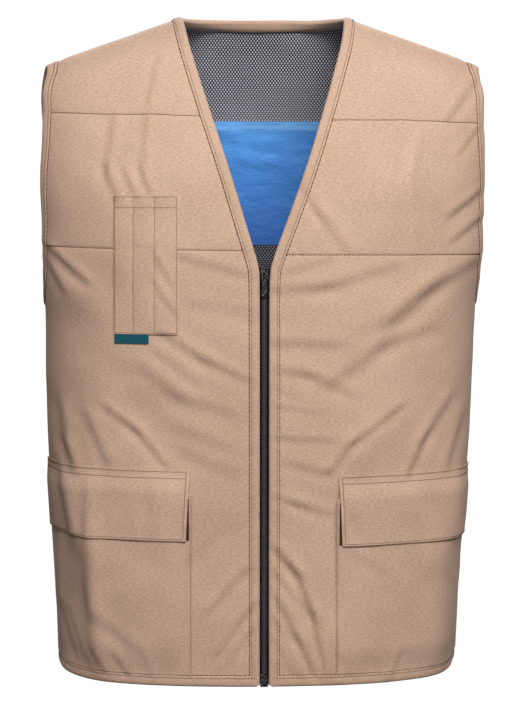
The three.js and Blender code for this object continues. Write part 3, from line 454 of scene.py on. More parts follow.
# Meshes
def run_along(points):
    """The way along a row of points up to each of them."""
    return np.concatenate([[0], np.cumsum(np.linalg.norm(np.diff(points, axis=0), axis=1))])


def rows_between(length, pitch, extra=()):
    """Shares from 0 to 1 a pitch apart, closer together at both ends."""
    ends = np.array([0.4, 1.0, 1.9]) / length
    inner = np.linspace(0, 1, max(3, int(round(length / pitch)) + 1))
    return np.unique(np.round(np.concatenate([inner, ends, 1 - ends, np.array(extra)]), 6))


def grid_faces(rows, columns, start=0):
    index = start + np.arange(rows * columns).reshape(rows, columns)
    return np.stack([index[:-1, :-1], index[1:, :-1], index[1:, 1:], index[:-1, 1:]], -1).reshape(-1, 4)


def add_mesh(name, points, faces, uv=None, sharp=50):
    """A mesh object from points in millimetres and four-cornered faces."""
    mesh = bpy.data.meshes.new(name)
    points = np.asarray(points, np.float32).reshape(-1, 3) / 1000
    faces = np.asarray(faces, np.int32)
    mesh.vertices.add(len(points))
    mesh.vertices.foreach_set("co", points.ravel())
    mesh.loops.add(faces.size)
    mesh.loops.foreach_set("vertex_index", faces.ravel())
    mesh.polygons.add(len(faces))
    mesh.polygons.foreach_set("loop_start", np.arange(0, faces.size, faces.shape[1], dtype=np.int32))
    mesh.update(calc_edges=True)
    if uv is not None:
        layer = mesh.uv_layers.new(name="UVMap")
        layer.data.foreach_set("uv", np.asarray(uv, np.float32)[faces.ravel()].ravel())
    mesh.validate()
    mesh.shade_smooth()
    mesh.set_sharp_from_angle(angle=math.radians(sharp))
    piece = bpy.data.objects.new(name, mesh)
    bpy.context.scene.collection.objects.link(piece)
    return piece


def sheet_mesh(name, outer, inner, uv):
    """A closed thin sheet from two grids of points."""
    rows, columns = outer.shape[:2]
    count = rows * columns
    index = np.arange(count).reshape(rows, columns)
    border = np.concatenate([index[0, :-1], index[:-1, -1], index[-1, :0:-1], index[:0:-1, 0]])
    following = np.roll(border, -1)
    rim = np.stack([border, following, following + count, border + count], -1)
    faces = np.concatenate([grid_faces(rows, columns), grid_faces(rows, columns, count)[:, ::-1], rim])
    points = np.concatenate([outer.reshape(-1, 3), inner.reshape(-1, 3)])
    return add_mesh(name, points, faces, np.concatenate([uv.reshape(-1, 2), uv.reshape(-1, 2)]))


def fix_facing(piece):
    """Turns the faces round if the closed mesh is inside out."""
    mesh = piece.data
    mesh.calc_loop_triangles()
    corners = np.empty(len(mesh.loop_triangles) * 3, np.int32)
    mesh.loop_triangles.foreach_get("vertices", corners)
    points = np.empty(len(mesh.vertices) * 3)
    mesh.vertices.foreach_get("co", points)
    a, b, c = points.reshape(-1, 3)[corners.reshape(-1, 3)].transpose(1, 0, 2)
    if np.einsum("ij,ij->i", a, np.cross(b, c)).sum() < 0:
        mesh.flip_normals()
    return piece


def uv_of(p):
    steps = np.linalg.norm(np.diff(p, axis=1), axis=-1)
    run = np.concatenate([np.zeros((len(p), 1)), np.cumsum(steps, 1)], 1)
    middle = np.argmin(np.abs(p[len(p) // 2, :, 0]))
    return np.stack([run - run[:, [middle]], p[..., 2]], -1) / 1000


# Materials
def srgb(red, green, blue):
    def linear(c):
        c = c / 255
        return c / 12.92 if c <= 0.04045 else ((c + 0.055) / 1.055) ** 2.4
    return (linear(red), linear(green), linear(blue), 1)


class Look:
    """A material, with short ways to add and join its nodes."""

    def __init__(self, name, roughness, sheen=0.0, specular=0.25):
        self.material = bpy.data.materials.new(name)
        self.material.use_nodes = True
        self.nodes = self.material.node_tree.nodes
        self.links = self.material.node_tree.links
        self.shader = self.nodes["Principled BSDF"]
        self.shader.inputs["Roughness"].default_value = roughness
        self.shader.inputs["Specular IOR Level"].default_value = specular
        self.shader.inputs["Sheen Weight"].default_value = sheen
        self.shader.inputs["Sheen Roughness"].default_value = 0.5

    def feed(self, socket, output):
        self.links.new(output, self.shader.inputs[socket])

    def node(self, kind, inputs, **settings):
        """A node with its settings and its inputs, each a plain value or another node's output."""
        node = self.nodes.new("ShaderNode" + kind)
        for setting, value in settings.items():
            setattr(node, setting, value)
        for socket, value in inputs.items():
            if isinstance(value, bpy.types.NodeSocket):
                self.links.new(value, node.inputs[socket])
            else:
                node.inputs[socket].default_value = value
        return node

    def math(self, operation, first, second=None):
        inputs = {0: first} if second is None else {0: first, 1: second}
        return self.node("Math", inputs, operation=operation).outputs[0]

    def noise(self, vector, scale, detail=2.0, roughness=0.5):
        inputs = {"Vector": vector, "Scale": scale, "Detail": detail, "Roughness": roughness}
        return self.node("TexNoise", inputs).outputs["Fac"]

    def stretched(self, vector, scale):
        return self.node("Mapping", {"Vector": vector, "Scale": scale}).outputs["Vector"]

    def split(self, vector):
        return self.node("SeparateXYZ", {0: vector}).outputs

    def ramp(self, value, stops):
        node = self.node("ValToRGB", {"Fac": value})
        elements = node.color_ramp.elements
        while len(elements) < len(stops):
            elements.new(0.5)
        for element, (position, color) in zip(elements, stops):
            element.position = position
            element.color = srgb(*color)
        return node.outputs["Color"]

    def bump(self, height, distance, strength, before=None):
        inputs = {"Height": height, "Distance": distance, "Strength": strength}
        if before is not None:
            inputs["Normal"] = before
        return self.node("Bump", inputs).outputs["Normal"]


def woven_material(name, light, dark, thread=0.0009, wrinkle=0.0005):
    """Woven cloth: crossed threads, small wrinkles and slightly uneven dye."""
    look = Look(name, 0.88, sheen=0.15)
    places = look.node("TexCoord", {}).outputs
    x, z, _ = look.split(places["UV"])
    turns = 2 * math.pi / thread
    warp = look.math("SINE", look.math("MULTIPLY", x, turns))
    weft = look.math("SINE", look.math("MULTIPLY", z, turns))
    threads = look.math("MULTIPLY", warp, weft)
    slub = look.noise(look.stretched(places["UV"], (260, 900, 1)), 1.0, 3.0, 0.6)
    patch = look.noise(places["Object"], 14.0, 3.0, 0.55)
    dye = look.math("ADD", look.math("MULTIPLY", slub, 0.8), look.math("MULTIPLY", patch, 0.2))
    dye = look.math("ADD", dye, look.math("MULTIPLY", threads, 0.05))
    look.feed("Base Color", look.ramp(dye, [(0.38, dark), (0.62, light)]))
    weave = look.bump(look.math("ADD", look.math("MULTIPLY", threads, 0.5), slub), 0.00012, 0.5)
    crease = look.noise(places["Object"], 55.0, 3.0, 0.5)
    look.feed("Normal", look.bump(crease, wrinkle, 0.7, weave))
    return look.material


def net_material(name, light):
    """Warp-knitted net: dark threads round staggered light openings."""
    look = Look(name, 0.8)
    x, z, _ = look.split(look.node("TexCoord", {}).outputs["UV"])
    pitch_x, pitch_z = 0.0034, 0.0048
    nearest = None
    for shift in (0.0, 0.5):
        squares = []
        for way, pitch in ((x, pitch_x), (z, pitch_z)):
            moved = look.math("ADD", look.math("MULTIPLY", way, 1 / pitch), 500 + shift)
            centred = look.math("SUBTRACT", look.math("FRACT", moved), 0.5)
            size = look.math("MULTIPLY", centred, pitch / pitch_x)
            squares.append(look.math("MULTIPLY", size, size))
        away = look.math("SQRT", look.math("ADD", *squares))
        nearest = away if nearest is None else look.math("MINIMUM", nearest, away)
    look.feed("Base Color", look.ramp(nearest, [(0.25, light), (0.34, (12, 12, 15))]))
    return look.material


def cooling_material(name):
    """Blue cooling cloth with a crinkled, slightly glossy face and a lighter hem along its top, and painted
    shade that darkens it downwards.
    """
    look = Look(name, 0.5, sheen=0.2, specular=0.45)
    places = look.node("TexCoord", {}).outputs
    patch = look.noise(places["Object"], 22.0, 4.0, 0.6)
    level = look.split(places["UV"])[1]
    # Painted shade: the band's blue darkens from its top downwards, where less light reaches inside the vest.
    from_top = look.math("MULTIPLY", level, -1000.0)
    share = look.math("SUBTRACT", from_top, float(BACK_YOKE_SEAM))
    share = look.math("MULTIPLY", share, 0.8 / (BACK_CHEST_SEAM - BACK_YOKE_SEAM))
    painted_shade_level = look.math("ADD", share, look.math("MULTIPLY", patch, 0.25))
    plain = look.ramp(painted_shade_level, [(0.12, (112, 186, 254)), (0.2, (94, 168, 250)), (0.9, (62, 124, 210))])
    hem = look.ramp(patch, [(0.3, (112, 180, 250)), (0.7, (132, 196, 255))])
    in_hem = look.math("LESS_THAN", from_top, BACK_YOKE_SEAM + 9.5)
    look.feed("Base Color", look.node("Mix", {0: in_hem, 6: plain, 7: hem}, data_type="RGBA").outputs[2])
    creased = look.noise(look.stretched(places["Object"], (24, 24, 44)), 1.0, 4.0, 0.6)
    grain = look.noise(places["Object"], 900.0, 1.0, 0.5)
    look.feed("Normal", look.bump(grain, 0.0001, 0.5, look.bump(creased, 0.004, 0.8)))
    return look.material


def plain_material(name, color, roughness, grain=0.0, grain_scale=600.0, specular=0.4, painted_glint=None):
    """One flecked colour, or a colour with light specks of painted glints."""
    look = Look(name, roughness, specular=specular)
    fleck = look.noise(look.node("TexCoord", {}).outputs["Object"], grain_scale)
    darker = tuple(int(c * 0.86) for c in color)
    stops = [(0.56, color), (0.64, painted_glint)] if painted_glint else [(0.3, darker), (0.7, color)]
    look.feed("Base Color", look.ramp(fleck, stops))
    if grain:
        look.feed("Normal", look.bump(fleck, grain, 0.6))
    return look.material


canvas_look = woven_material("canvas", (216, 184, 161), (188, 154, 130))
binding_look = woven_material("binding_tape", (212, 180, 157), (188, 154, 130), thread=0.0011, wrinkle=0.0003)
net_look = net_material("net", (214, 214, 226))
# A darker copy of the net: painted shade for the lower net, deep inside the vest.
painted_shade_net_look = net_material("net_painted_shade", (150, 150, 160))
cooling_look = cooling_material("cooling_cloth")
thread_look = plain_material("sewing_thread", (104, 72, 55), 0.8, specular=0.1)
dark_thread_look = plain_material("dark_thread", (84, 58, 45), 0.8, specular=0.1)
blue_thread_look = plain_material("blue_thread", (60, 104, 176), 0.7)
tape_look = plain_material("zip_tape_cloth", (13, 13, 15), 0.8, grain=0.0002, grain_scale=2500)
teeth_look = plain_material("zip_teeth", (84, 84, 89), 0.35, specular=0.6)
# The enamel's light specks are painted glints on the slider, pull and end box.
metal_look = plain_material("black_enamel", (12, 12, 14), 0.3, specular=1.0, painted_glint=(132, 132, 138))
# Painted shade: a dark brown for the strip beside each flap, standing in for the shadowed gap under the flap's
# edge.
gap_shade_look = plain_material("gap_painted_shade", (74, 54, 43), 0.95, specular=0.1)
tab_look = woven_material("teal_tab", (20, 92, 106), (8, 66, 82), thread=0.0007, wrinkle=0.0002)


def finish_piece(piece, look, nodes=()):
    piece.data.materials.append(look)
    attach(piece, "vest")
    if nodes:
        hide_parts(*nodes)


def cloth_piece(name, face, grid, lifts,
                look=canvas_look, nodes=None):
    """A sheet of cloth with its outer and inner face at two heights, in place of the node of its name."""
    plain = skin(face, *grid)
    outer, inner = (place(face, *grid, lift)[0] for lift in lifts)
    piece = fix_facing(sheet_mesh(f"{name}_cloth", outer, inner, uv_of(plain)))
    finish_piece(piece, look, [name] if nodes is None else nodes)


# Panels of the fronts and the back, from the top down: name, and whether top and foot dip into a seam
PANELS = [("yoke", 0, 1), ("chest", 1, 1), ("lower", 1, 0)]
SEAM_DIP = 0.4

# Their linings: name, look, slot, thickness and depth of the crinkles
LININGS = [
    ("net_yoke", net_look, "net_lining", 1.4, 0),
    ("cooling_band", cooling_look, "cooling_cloth", 1.8, 1.1),
    # The lower net takes the darker copy of the net, as painted shade deep inside the vest.
    ("net_lower", painted_shade_net_look, "net_lining", 1.4, 0),
]


def shoulder_line(u):
    return np.minimum(ridge(across(u)), 0)


def panel_rows(top, bottom, pitch):
    """Shares down a panel. Rows are closer near its ends, at the shoulder's curve and at the armpit."""
    at_side = float(top(1.0) - bottom(1.0))
    at_middle = float(top(0.45) - bottom(0.45))
    extra = []
    if top is shoulder_line:
        extra += [SHOULDER_ROUND / at_middle * (1 - math.cos(a)) for a in np.linspace(0, np.pi / 2, 18)]
        extra += [0.02 / at_middle, 0.25 / at_middle]
    for above in (0, 0.05, 0.3, 0.8, 1.6, 2.6, 4.0):
        share = float((top(1.0) - ARMPIT - above) / at_side)
        if 0.02 < share < 0.98:
            extra.append(share)
    return rows_between(at_middle, pitch, extra)


def panel_grid(face, side, top, bottom, pitch, columns):
    """Places on a panel: a front's run from the opening to its side, the back's from side to side."""
    s_rows, q_rows = [], []
    for share in panel_rows(top, bottom, pitch):
        def height(s):
            u = np.abs(s)
            return top(u) + (bottom(u) - top(u)) * share
        stop = outer_round(face, height)
        s = stop * np.linspace(-1, 1, columns)
        if face == FRONT:
            z = min(0.0, float(height(0.3)))
            for _ in range(40):
                z = height(opening_round(side, z))
            start = float(opening_round(side, z))
            s = side * (start + (stop - start) * np.linspace(0, 1, columns))
        s_rows.append(s)
        q_rows.append(way_down(s, height(s)))
    return np.array(s_rows), np.array(q_rows)


def from_ends(p):
    """How far each point of a grid lies down from its top row and up from its bottom row."""
    down = np.cumsum(np.linalg.norm(np.diff(p, axis=0), axis=-1), 0)
    down = np.concatenate([np.zeros((1, p.shape[1])), down])
    return down, down[-1] - down


def build_panel(name, face, grid, dip_top, dip_foot, rests_on):
    from_top, from_foot = from_ends(skin(face, *grid))
    dip = -SEAM_DIP * (dip_top * np.exp(-from_top ** 2) + dip_foot * np.exp(-from_foot ** 2))
    cloth_piece(name, face, grid, (dip, dip - CANVAS))


def build_lining(name, face, grid, look, slot_name, thickness, crinkle, rests_on):
    plain = skin(face, *grid)
    x, z = plain[..., 0], plain[..., 2]
    run = np.abs(noise(x + 0.5 * z, z - 0.3 * x, 17, 51)) + 0.6 * np.abs(noise(x - z, z + x, 9, 52))
    inward = np.minimum(*from_ends(plain))
    top = -LINING_TOP - crinkle * run * np.clip(inward / 8, 0.1, 1)
    cloth_piece(name, face, grid, (top, top - thickness), look=look)


def build_side(face, side, where, pitch, columns, lining_sizes, held_by):
    """The panels and linings of one front or the back, with the pitch of rows and the columns of each."""
    seams = [shoulder_line, yoke_seam(face, side), chest_seam(face, side), hem_line]
    for k, (part, *dips) in enumerate(PANELS):
        grid = panel_grid(face, side, seams[k], seams[k + 1], pitch, columns[k])
        build_panel(f"{where}_{part}", face, grid, *dips, held_by[k])
        grid = panel_grid(face, side, seams[k], seams[k + 1], *lining_sizes[k])
        lining, *kind = LININGS[k]
        build_lining(f"{lining}_{where}", face, grid, *kind, f"{where}_{part}")


SIDE_NAME = {-1: "left", 1: "right"}
for side, name in SIDE_NAME.items():
    where = f"front_{name}"
    held_by = ["back_yoke", f"{where}_yoke", f"{where}_chest"]
    build_side(FRONT, side, where, 2.4, (76, 94, 116), [(6.0, 38), (6.0, 47), (6.0, 58)], held_by)
held_by = ["front_left_yoke", "back_yoke", "back_chest"]
build_side(BACK, 1, "back", 3.2, (141, 161, 181), [(3.2, 141), (3.2, 161), (6.0, 91)], held_by)


# Bindings folded over the edges
def opening_path(side):
    z = -np.linspace(0, BODY_LENGTH, BODY_LENGTH // 3 + 1)
    near_top = -SHOULDER_ROUND * (1 - np.cos(np.linspace(0, np.pi / 2, 20)))
    z = np.unique(np.round(np.concatenate([z, near_top]), 4))[::-1]
    u = opening_round(side, z)
    q = way_down(u, z)
    q[0] = 0
    return side * u, q


def neck_path():
    reach = NECK_HALF_WIDTH * np.sin(np.linspace(-np.pi / 2, np.pi / 2, 60))
    s = np.sign(reach) * round_at(np.abs(reach), 0 * reach)
    return s, way_down(s, 0 * reach)


def armhole_path(face, side):
    u, z = ARMHOLES[face]
    run = run_along(skin(face, u, way_down(u, z)))
    at = np.linspace(0, run[-1], 90)
    u, z = np.interp(at, run, u), np.interp(at, run, z)
    q = way_down(u, z)
    q[0] = 0
    return side * u, q


def hem_path(face, side):
    start = float(opening_round(side, np.array(-float(BODY_LENGTH)), 1.2)) if face == FRONT else 0.0
    u = start + (1 - start) * np.linspace(0, 1, 110)
    return side * u, way_down(u, hem_line(u))


def turned(run):
    return run[0][::-1], run[1][::-1]


def joined(parts):
    """One path from runs of (face, s, q), each leaving out the point it shares with the run before."""
    faces, ss, qs = [], [], []
    for i, (face, s, q) in enumerate(parts):
        keep = slice(1, None) if i else slice(None)
        faces.append(np.full(len(s[keep]), face))
        ss.append(s[keep])
        qs.append(q[keep])
    return np.concatenate(faces), np.concatenate(ss), np.concatenate(qs)


def on_faces(work, faces, s, q, *rest):
    """Runs a function of one face over points that lie on both."""
    front = work(FRONT, s, q, *rest)
    back = work(BACK, s, q, *rest)
    in_front = (faces == FRONT)[:, None]
    if isinstance(front, tuple):
        return tuple(np.where(in_front, f, b) for f, b in zip(front, back))
    return np.where(in_front, front, back)


def edge_frames(path, closed):
    """Directions along an edge, into the cloth and out of it, with the steps that lead into the cloth."""
    faces, s, q = path
    points = on_faces(skin, faces, s, q)
    if closed:
        along = unit(np.roll(points, -1, 0) - np.roll(points, 1, 0))
    else:
        along = unit(np.gradient(points, axis=0))
    normal = on_faces(outward, faces, s, q)
    into = unit(np.cross(normal, along))
    along_s, along_q = on_faces(slopes_at, faces, s, q)
    ss = np.einsum("ij,ij->i", along_s, along_s)
    qq = np.einsum("ij,ij->i", along_q, along_q)
    sq = np.einsum("ij,ij->i", along_s, along_q)
    sd = np.einsum("ij,ij->i", along_s, into)
    qd = np.einsum("ij,ij->i", along_q, into)
    det = np.maximum(ss * qq - sq * sq, 1e-9)
    return into, (sd * qq - qd * sq) / det, (qd * ss - sd * sq) / det


def beside_edge(path, frames, inward, lift):
    """Points a distance into the cloth from an edge, at a height above the cloth."""
    faces, s, q = path
    into, step_s, step_q = frames
    on = max(inward, 0.0)
    points, normals = on_faces(place, faces, s + on * step_s, q + on * step_q, np.full(len(s), float(lift)))
    return points + into * min(inward, 0.0), normals


# Section of a binding: distances into the cloth from its edge, and heights above the cloth
BINDING_SECTION = [
    (9.9, 0.32), (10.1, 0.75), (9.7, 1.15), (8.6, 1.28), (7.4, 1.05), (6.2, 1.35), (4.0, 1.55), (2.0, 1.5),
    (0.4, 1.3), (-0.8, 0.75), (-1.4, -0.2), (-1.6, -1.8), (-1.4, -3.4), (-0.7, -4.5), (0.4, -5.0), (5.0, -5.05),
    (9.7, -5.0), (10.0, -4.5), (9.7, -4.05), (5.0, -4.0), (0.2, -3.9), (-0.5, -3.2), (-0.6, -1.8), (-0.4, -0.4),
    (0.3, 0.25), (5.0, 0.3),
]


def binding_ends(rows, columns):
    """Faces that close a binding's two ends, each a strip between the two halves of its section."""
    faces = []
    for row in (0, rows - 1):
        base = row * columns
        last = base + columns
        ends = np.array([[base + k, base + k + 1, last - 3 - k, last - 2 - k] for k in range(columns // 2 - 1)])
        faces.append(ends if row == 0 else ends[:, ::-1])
    return faces


def build_binding(name, parts, closed):
    """A tape folded over an edge, with small ripples in its outer face."""
    path = joined(parts)
    if closed:
        path = tuple(values[:-1] for values in path)
    frames = edge_frames(path, closed)
    count = len(path[1])
    ripple = 0.175 * np.sin(np.arange(count) * 1.7) * np.random.default_rng(5).uniform(0.2, 1, count)
    rings = []
    for inward, lift in BINDING_SECTION:
        points, normals = beside_edge(path, frames, inward, lift)
        if lift > 1.0 and 2 < inward < 9:
            points = points + normals * ripple[:, None]
        rings.append(points)
    grid = np.stack(rings + rings[:1], 1)
    if closed:
        grid = np.concatenate([grid, grid[:1]], 0)
    uv = np.stack(np.broadcast_arrays(run_along(grid[0])[None, :], run_along(grid[:, 6])[:, None]), -1) / 1000
    rows, columns = grid.shape[:2]
    faces = [grid_faces(rows, columns)] + ([] if closed else binding_ends(rows, columns))
    piece = add_mesh(f"{name}_tape", grid.reshape(-1, 3), np.concatenate(faces), uv.reshape(-1, 2), sharp=70)
    weld(piece)
    fix_facing(piece)
    finish_piece(piece, binding_look, [name])
    edge_points = on_faces(skin, *path)
    if closed:
        edge_points = np.concatenate([edge_points, edge_points[:1]])
    return path, frames


def weld(piece):
    work = bmesh.new()
    work.from_mesh(piece.data)
    bmesh.ops.remove_doubles(work, verts=work.verts, dist=1e-6)
    bmesh.ops.recalc_face_normals(work, faces=work.faces)
    work.to_mesh(piece.data)
    work.free()


parts = [(FRONT, *turned(opening_path(-1))), (BACK, *neck_path()), (FRONT, *opening_path(1))]
edges = [build_binding("edge_binding", parts, False)]
for side, name in SIDE_NAME.items():
    first, second = (FRONT, BACK) if side < 0 else (BACK, FRONT)
    parts = [(first, *armhole_path(first, side)), (second, *turned(armhole_path(second, side)))]
    edges.append(build_binding(f"armhole_binding_{name}", parts, True))
parts = [
    (FRONT, *hem_path(FRONT, 1)),
    (BACK, *turned(hem_path(BACK, 1))),
    (BACK, *hem_path(BACK, -1)),
    (FRONT, *turned(hem_path(FRONT, -1))),
]
edges.append(build_binding("hem_binding", parts, False))

# Patches of cloth on the fronts: pockets, flaps and the pen pocket. The runs are their rough sizes.
POCKET_RUN = 190
POCKET_DROP = 180
POCKET_CLOTH = 1.4
FLAP_SLANT = 3.6
PEN_RUN = 66
PEN_CLOTH = 1.2
TAB_RUN = 35


def side_round(side, x, z):
    """The place round the front that lies at a distance off the zip, at a height."""
    return round_at(x - side * HALF_WIDTH * section_at(z, SWAY_COLUMN), z)


def patch_grid(side, x_start, x_stop, top, bottom, columns, rows, slant=0.0):
    """A grid from one distance off the middle to another, or to the side, between two heights."""
    down = rows[:, None]
    z = 0 * down - BODY_LENGTH / 2
    for _ in range(4):
        start = side_round(side, x_start + slant * down, z[:, :1])
        stop = 1.0 if x_stop is None else side_round(side, x_stop + 0 * down, z[:, -1:])
        u = start + (stop - start) * columns[None, :]
        z = top(u) + (bottom(u) - top(u)) * down
    return side * u, way_down(u, z)


def level_line(z):
    return lambda u: z + 0 * u


def flap_line(side, below):
    """A line at a distance below the top of a side's flap."""
    return hung(BODY_LENGTH - FLAP_TOP + below, side, "flap")


def pocket_foot(u):
    return hem_line(u) + BINDING_WIDTH + 0.6


def soft_edge(distance, reach):
    share = np.clip(distance / reach, 0, 1)
    return share * share * (3 - 2 * share)


def even(count, length, edge=(0.5, 1.2, 2.4)):
    """Even shares from 0 to 1, closer together at both ends."""
    near = np.array(edge) / length
    return np.unique(np.concatenate([np.linspace(0, 1, count), near, 1 - near]))


def uneven(grid, height, size, seed):
    plain = skin(FRONT, *grid)
    return height * noise(plain[..., 0], plain[..., 2], size, seed)


def bag_height(x_run, z_run):
    """How far a pocket's inner face stands off the front, at a way in from its edge and below its top."""
    bulge = 3.0 * soft_edge(x_run, 16) * soft_edge(POCKET_RUN - x_run, 30) * soft_edge(POCKET_DROP - z_run, 30)
    gape = 2.6 * np.exp(-(x_run / 9) ** 2) * soft_edge(95 - z_run, 60)
    return 0.35 + bulge + gape


def over_pocket(side, s, q):
    """How far a pocket's outer face stands off the front at a place."""
    z = skin(FRONT, s, q)[..., 2]
    u = np.abs(s)
    start = side_round(side, POCKET_EDGE - 2, z)
    top = flap_line(side, POCKET_MOUTH)(u)
    x_run = (u - start) / (1 - start) * POCKET_RUN
    z_run = (top - z) / (top - pocket_foot(u)) * POCKET_DROP
    return bag_height(x_run, z_run) + POCKET_CLOTH


def build_pocket(side, name):
    columns, rows = even(64, POCKET_RUN), even(60, POCKET_DROP)
    grid = patch_grid(side, POCKET_EDGE - 2, None, flap_line(side, POCKET_MOUTH), pocket_foot, columns, rows)
    x_run, z_run = (columns * POCKET_RUN)[None, :], (rows * POCKET_DROP)[:, None]
    waves = np.maximum(uneven(grid, 0.5, 34, 71) * soft_edge(x_run, 12), -0.2)
    lift = bag_height(x_run, z_run) + 0.5 * np.exp(-(x_run / 2) ** 2) + waves
    cloth_piece(f"pocket_{name}", FRONT, grid, (lift + POCKET_CLOTH, lift))


def build_flap(side, name):
    """A flap over its pocket. Returns its columns, rows and heights for the stitches."""
    columns, rows = even(64, POCKET_RUN), even(26, FLAP_HEIGHT)
    top, foot = flap_line(side, 0), flap_line(side, FLAP_HEIGHT)
    grid = patch_grid(side, POCKET_EDGE, None, top, foot, columns, rows, FLAP_SLANT)
    x_run, z_run = (columns * POCKET_RUN)[None, :], (rows * FLAP_HEIGHT)[:, None]
    under = over_pocket(side, *grid) * soft_edge(z_run, 26)
    spring = 0.3 * (z_run / FLAP_HEIGHT) ** 1.5
    waves = np.maximum(uneven(grid, 0.4, 26, 73 + side) * soft_edge(z_run, 20), -0.1)
    hems = np.exp(-(z_run / 3.2) ** 4) + np.exp(-((FLAP_HEIGHT - z_run) / 3) ** 4) + np.exp(-(x_run / 5) ** 4)
    inner = 0.4 + under + spring + waves
    outer = inner + 1.0 + 0.14 * hems
    cloth_piece(f"pocket_flap_{name}", FRONT, grid, (outer, inner))
    return columns, rows, outer


def build_painted_gap_shade(side, name):
    """A dark strip beside the flap's edge: painted shade of the gap under it."""
    columns, rows = even(6, 12, (0.5, 1.2)), even(26, 60)
    top, foot = flap_line(side, 28), flap_line(side, FLAP_HEIGHT - 0.8)
    grid = patch_grid(side, POCKET_EDGE - 1.4, POCKET_EDGE + 10, top, foot, columns, rows)
    under = over_pocket(side, *grid)
    cloth_piece(f"pocket_gusset_{name}", FRONT, grid, (under + 0.28, under + 0.05),
                gap_shade_look, nodes=())


def pen_height(x_run, z_run):
    """How far the pen pocket's inner face stands off the chest, over its three slots."""
    slots = np.abs(np.sin(3 * np.pi * x_run / PEN_RUN)) ** 0.6
    return 0.35 + slots * (0.8 * soft_edge(PEN_HEIGHT - z_run, 20) + 0.9 * np.exp(-(z_run / 10) ** 2))


def build_pen_pocket():
    columns, rows = even(34, PEN_RUN), even(62, PEN_HEIGHT)
    foot = -PEN_TOP - PEN_HEIGHT
    grid = patch_grid(-1, PEN_RIGHT, PEN_LEFT, level_line(-PEN_TOP), level_line(foot), columns, rows)
    lift = pen_height((columns * PEN_RUN)[None, :], (rows * PEN_HEIGHT)[:, None])
    cloth_piece("pen_pocket", FRONT, grid, (lift + PEN_CLOTH, lift))


def build_tab():
    """The teal tab, whose top is tucked under the pen pocket."""
    columns, rows = even(14, TAB_RUN), even(8, 9.5)
    pen_foot = -PEN_TOP - PEN_HEIGHT
    top, foot = level_line(pen_foot + 1.2), level_line(pen_foot - 9.8)
    grid = patch_grid(-1, PEN_LEFT - TAB_RUN, PEN_LEFT, top, foot, columns, rows)
    tucked = soft_edge(1.4 - (rows * 11)[:, None], 0.8)
    lifts = (1.2 - 0.9 * tucked, 0.35 - 0.3 * tucked)
    cloth_piece("label_tab", FRONT, grid, lifts, look=tab_look)


flaps = {}
for side, name in SIDE_NAME.items():
    build_pocket(side, name)
    flaps[side] = build_flap(side, name)
    build_painted_gap_shade(side, name)
build_pen_pocket()
build_tab()

# Stitches: short tapered threads in rows, joined into one mesh for each kind of seam
STITCH_SECTION = 5
STITCH_RINGS = [(-0.5, 0.35), (-0.25, 1.0), (0.25, 1.0), (0.5, 0.35)]


def tube_faces(ring, count):
    """Faces between rings of points, without the ends."""
    faces = []
    for base in range(0, (count - 1) * ring, ring):
        for k in range(ring):
            m = (k + 1) % ring
            faces.append([base + k, base + m, base + ring + m, base + ring + k])
    return faces


def stitch_mesh(name, runs, look, pitch=2.5, thread=0.45, share=0.62):
    """Stitches along runs of (points, normals), each as long as a share of its pitch."""
    end = 3 * STITCH_SECTION
    faces = np.array(tube_faces(STITCH_SECTION, 4) + [[0, 3, 2, 1], [end, end + 1, end + 2, end + 3]])
    all_points, all_faces, start = [], [], 0
    for points, normals in runs:
        run = run_along(points)
        count = max(1, int(run[-1] / pitch))
        step = run[-1] / count

        def along(values, at):
            return np.stack([np.interp(at, run, values[:, k]) for k in range(3)], -1)

        rings = []
        for offset, size in STITCH_RINGS:
            at = (np.arange(count) + 0.5 + offset * share) * step
            centre = along(points, at)
            normal = unit(along(normals, at))
            sideways = unit(np.cross(normal, along(points, at + 0.4) - along(points, at - 0.4)))
            sink = thread * (0.1 if size == 1.0 else -0.7)
            for k in range(STITCH_SECTION):
                a = 2 * math.pi * k / STITCH_SECTION
                rings.append(centre + normal * (sink + thread * size * math.sin(a) * 0.8)
                             + sideways * thread * size * math.cos(a))
        all_points.append(np.stack(rings, 1).reshape(-1, 3))
        starts = start + np.arange(count) * len(rings)
        all_faces.append((faces[None] + starts[:, None, None]).reshape(-1, 4))
        start += count * len(rings)
    piece = add_mesh(name, np.concatenate(all_points), np.concatenate(all_faces), sharp=80)
    finish_piece(piece, look)


def run_on(face, s, z, lift):
    """Points and normals along a line at places round the body and heights."""
    return place(face, s, way_down(s, z), np.broadcast_to(np.asarray(lift, float), np.shape(s)))


runs = [beside_edge(*edge, 7.4, 1.12) for edge in edges]
stitch_mesh("binding_stitches", runs, thread_look, thread=0.5, share=0.6)
# A nearly unbroken row of dark thread at each binding's inner edge: painted shade of the edge's shadow line.
runs = [beside_edge(*edge, 10.4, 0.15) for edge in edges]
stitch_mesh("binding_edge_painted_shade", runs, dark_thread_look, pitch=5.0, thread=0.42, share=0.97)

runs = []
for side in (-1, 1):
    for line in (yoke_seam(FRONT, side), chest_seam(FRONT, side)):
        start = float(opening_round(side, np.array(float(line(0.3))), 10.2))
        u = np.linspace(start, outer_round(FRONT, line) - 0.02, 160)
        runs.append(run_on(FRONT, side * u, line(u), -0.1))
for line in (yoke_seam(BACK, 1), chest_seam(BACK, 1)):
    stop = outer_round(BACK, line) - 0.02
    s = np.linspace(-stop, stop, 300)
    runs.append(run_on(BACK, s, line(s), -0.55))
stitch_mesh("seam_stitches", runs, dark_thread_look, pitch=2.7, thread=0.6, share=0.6)


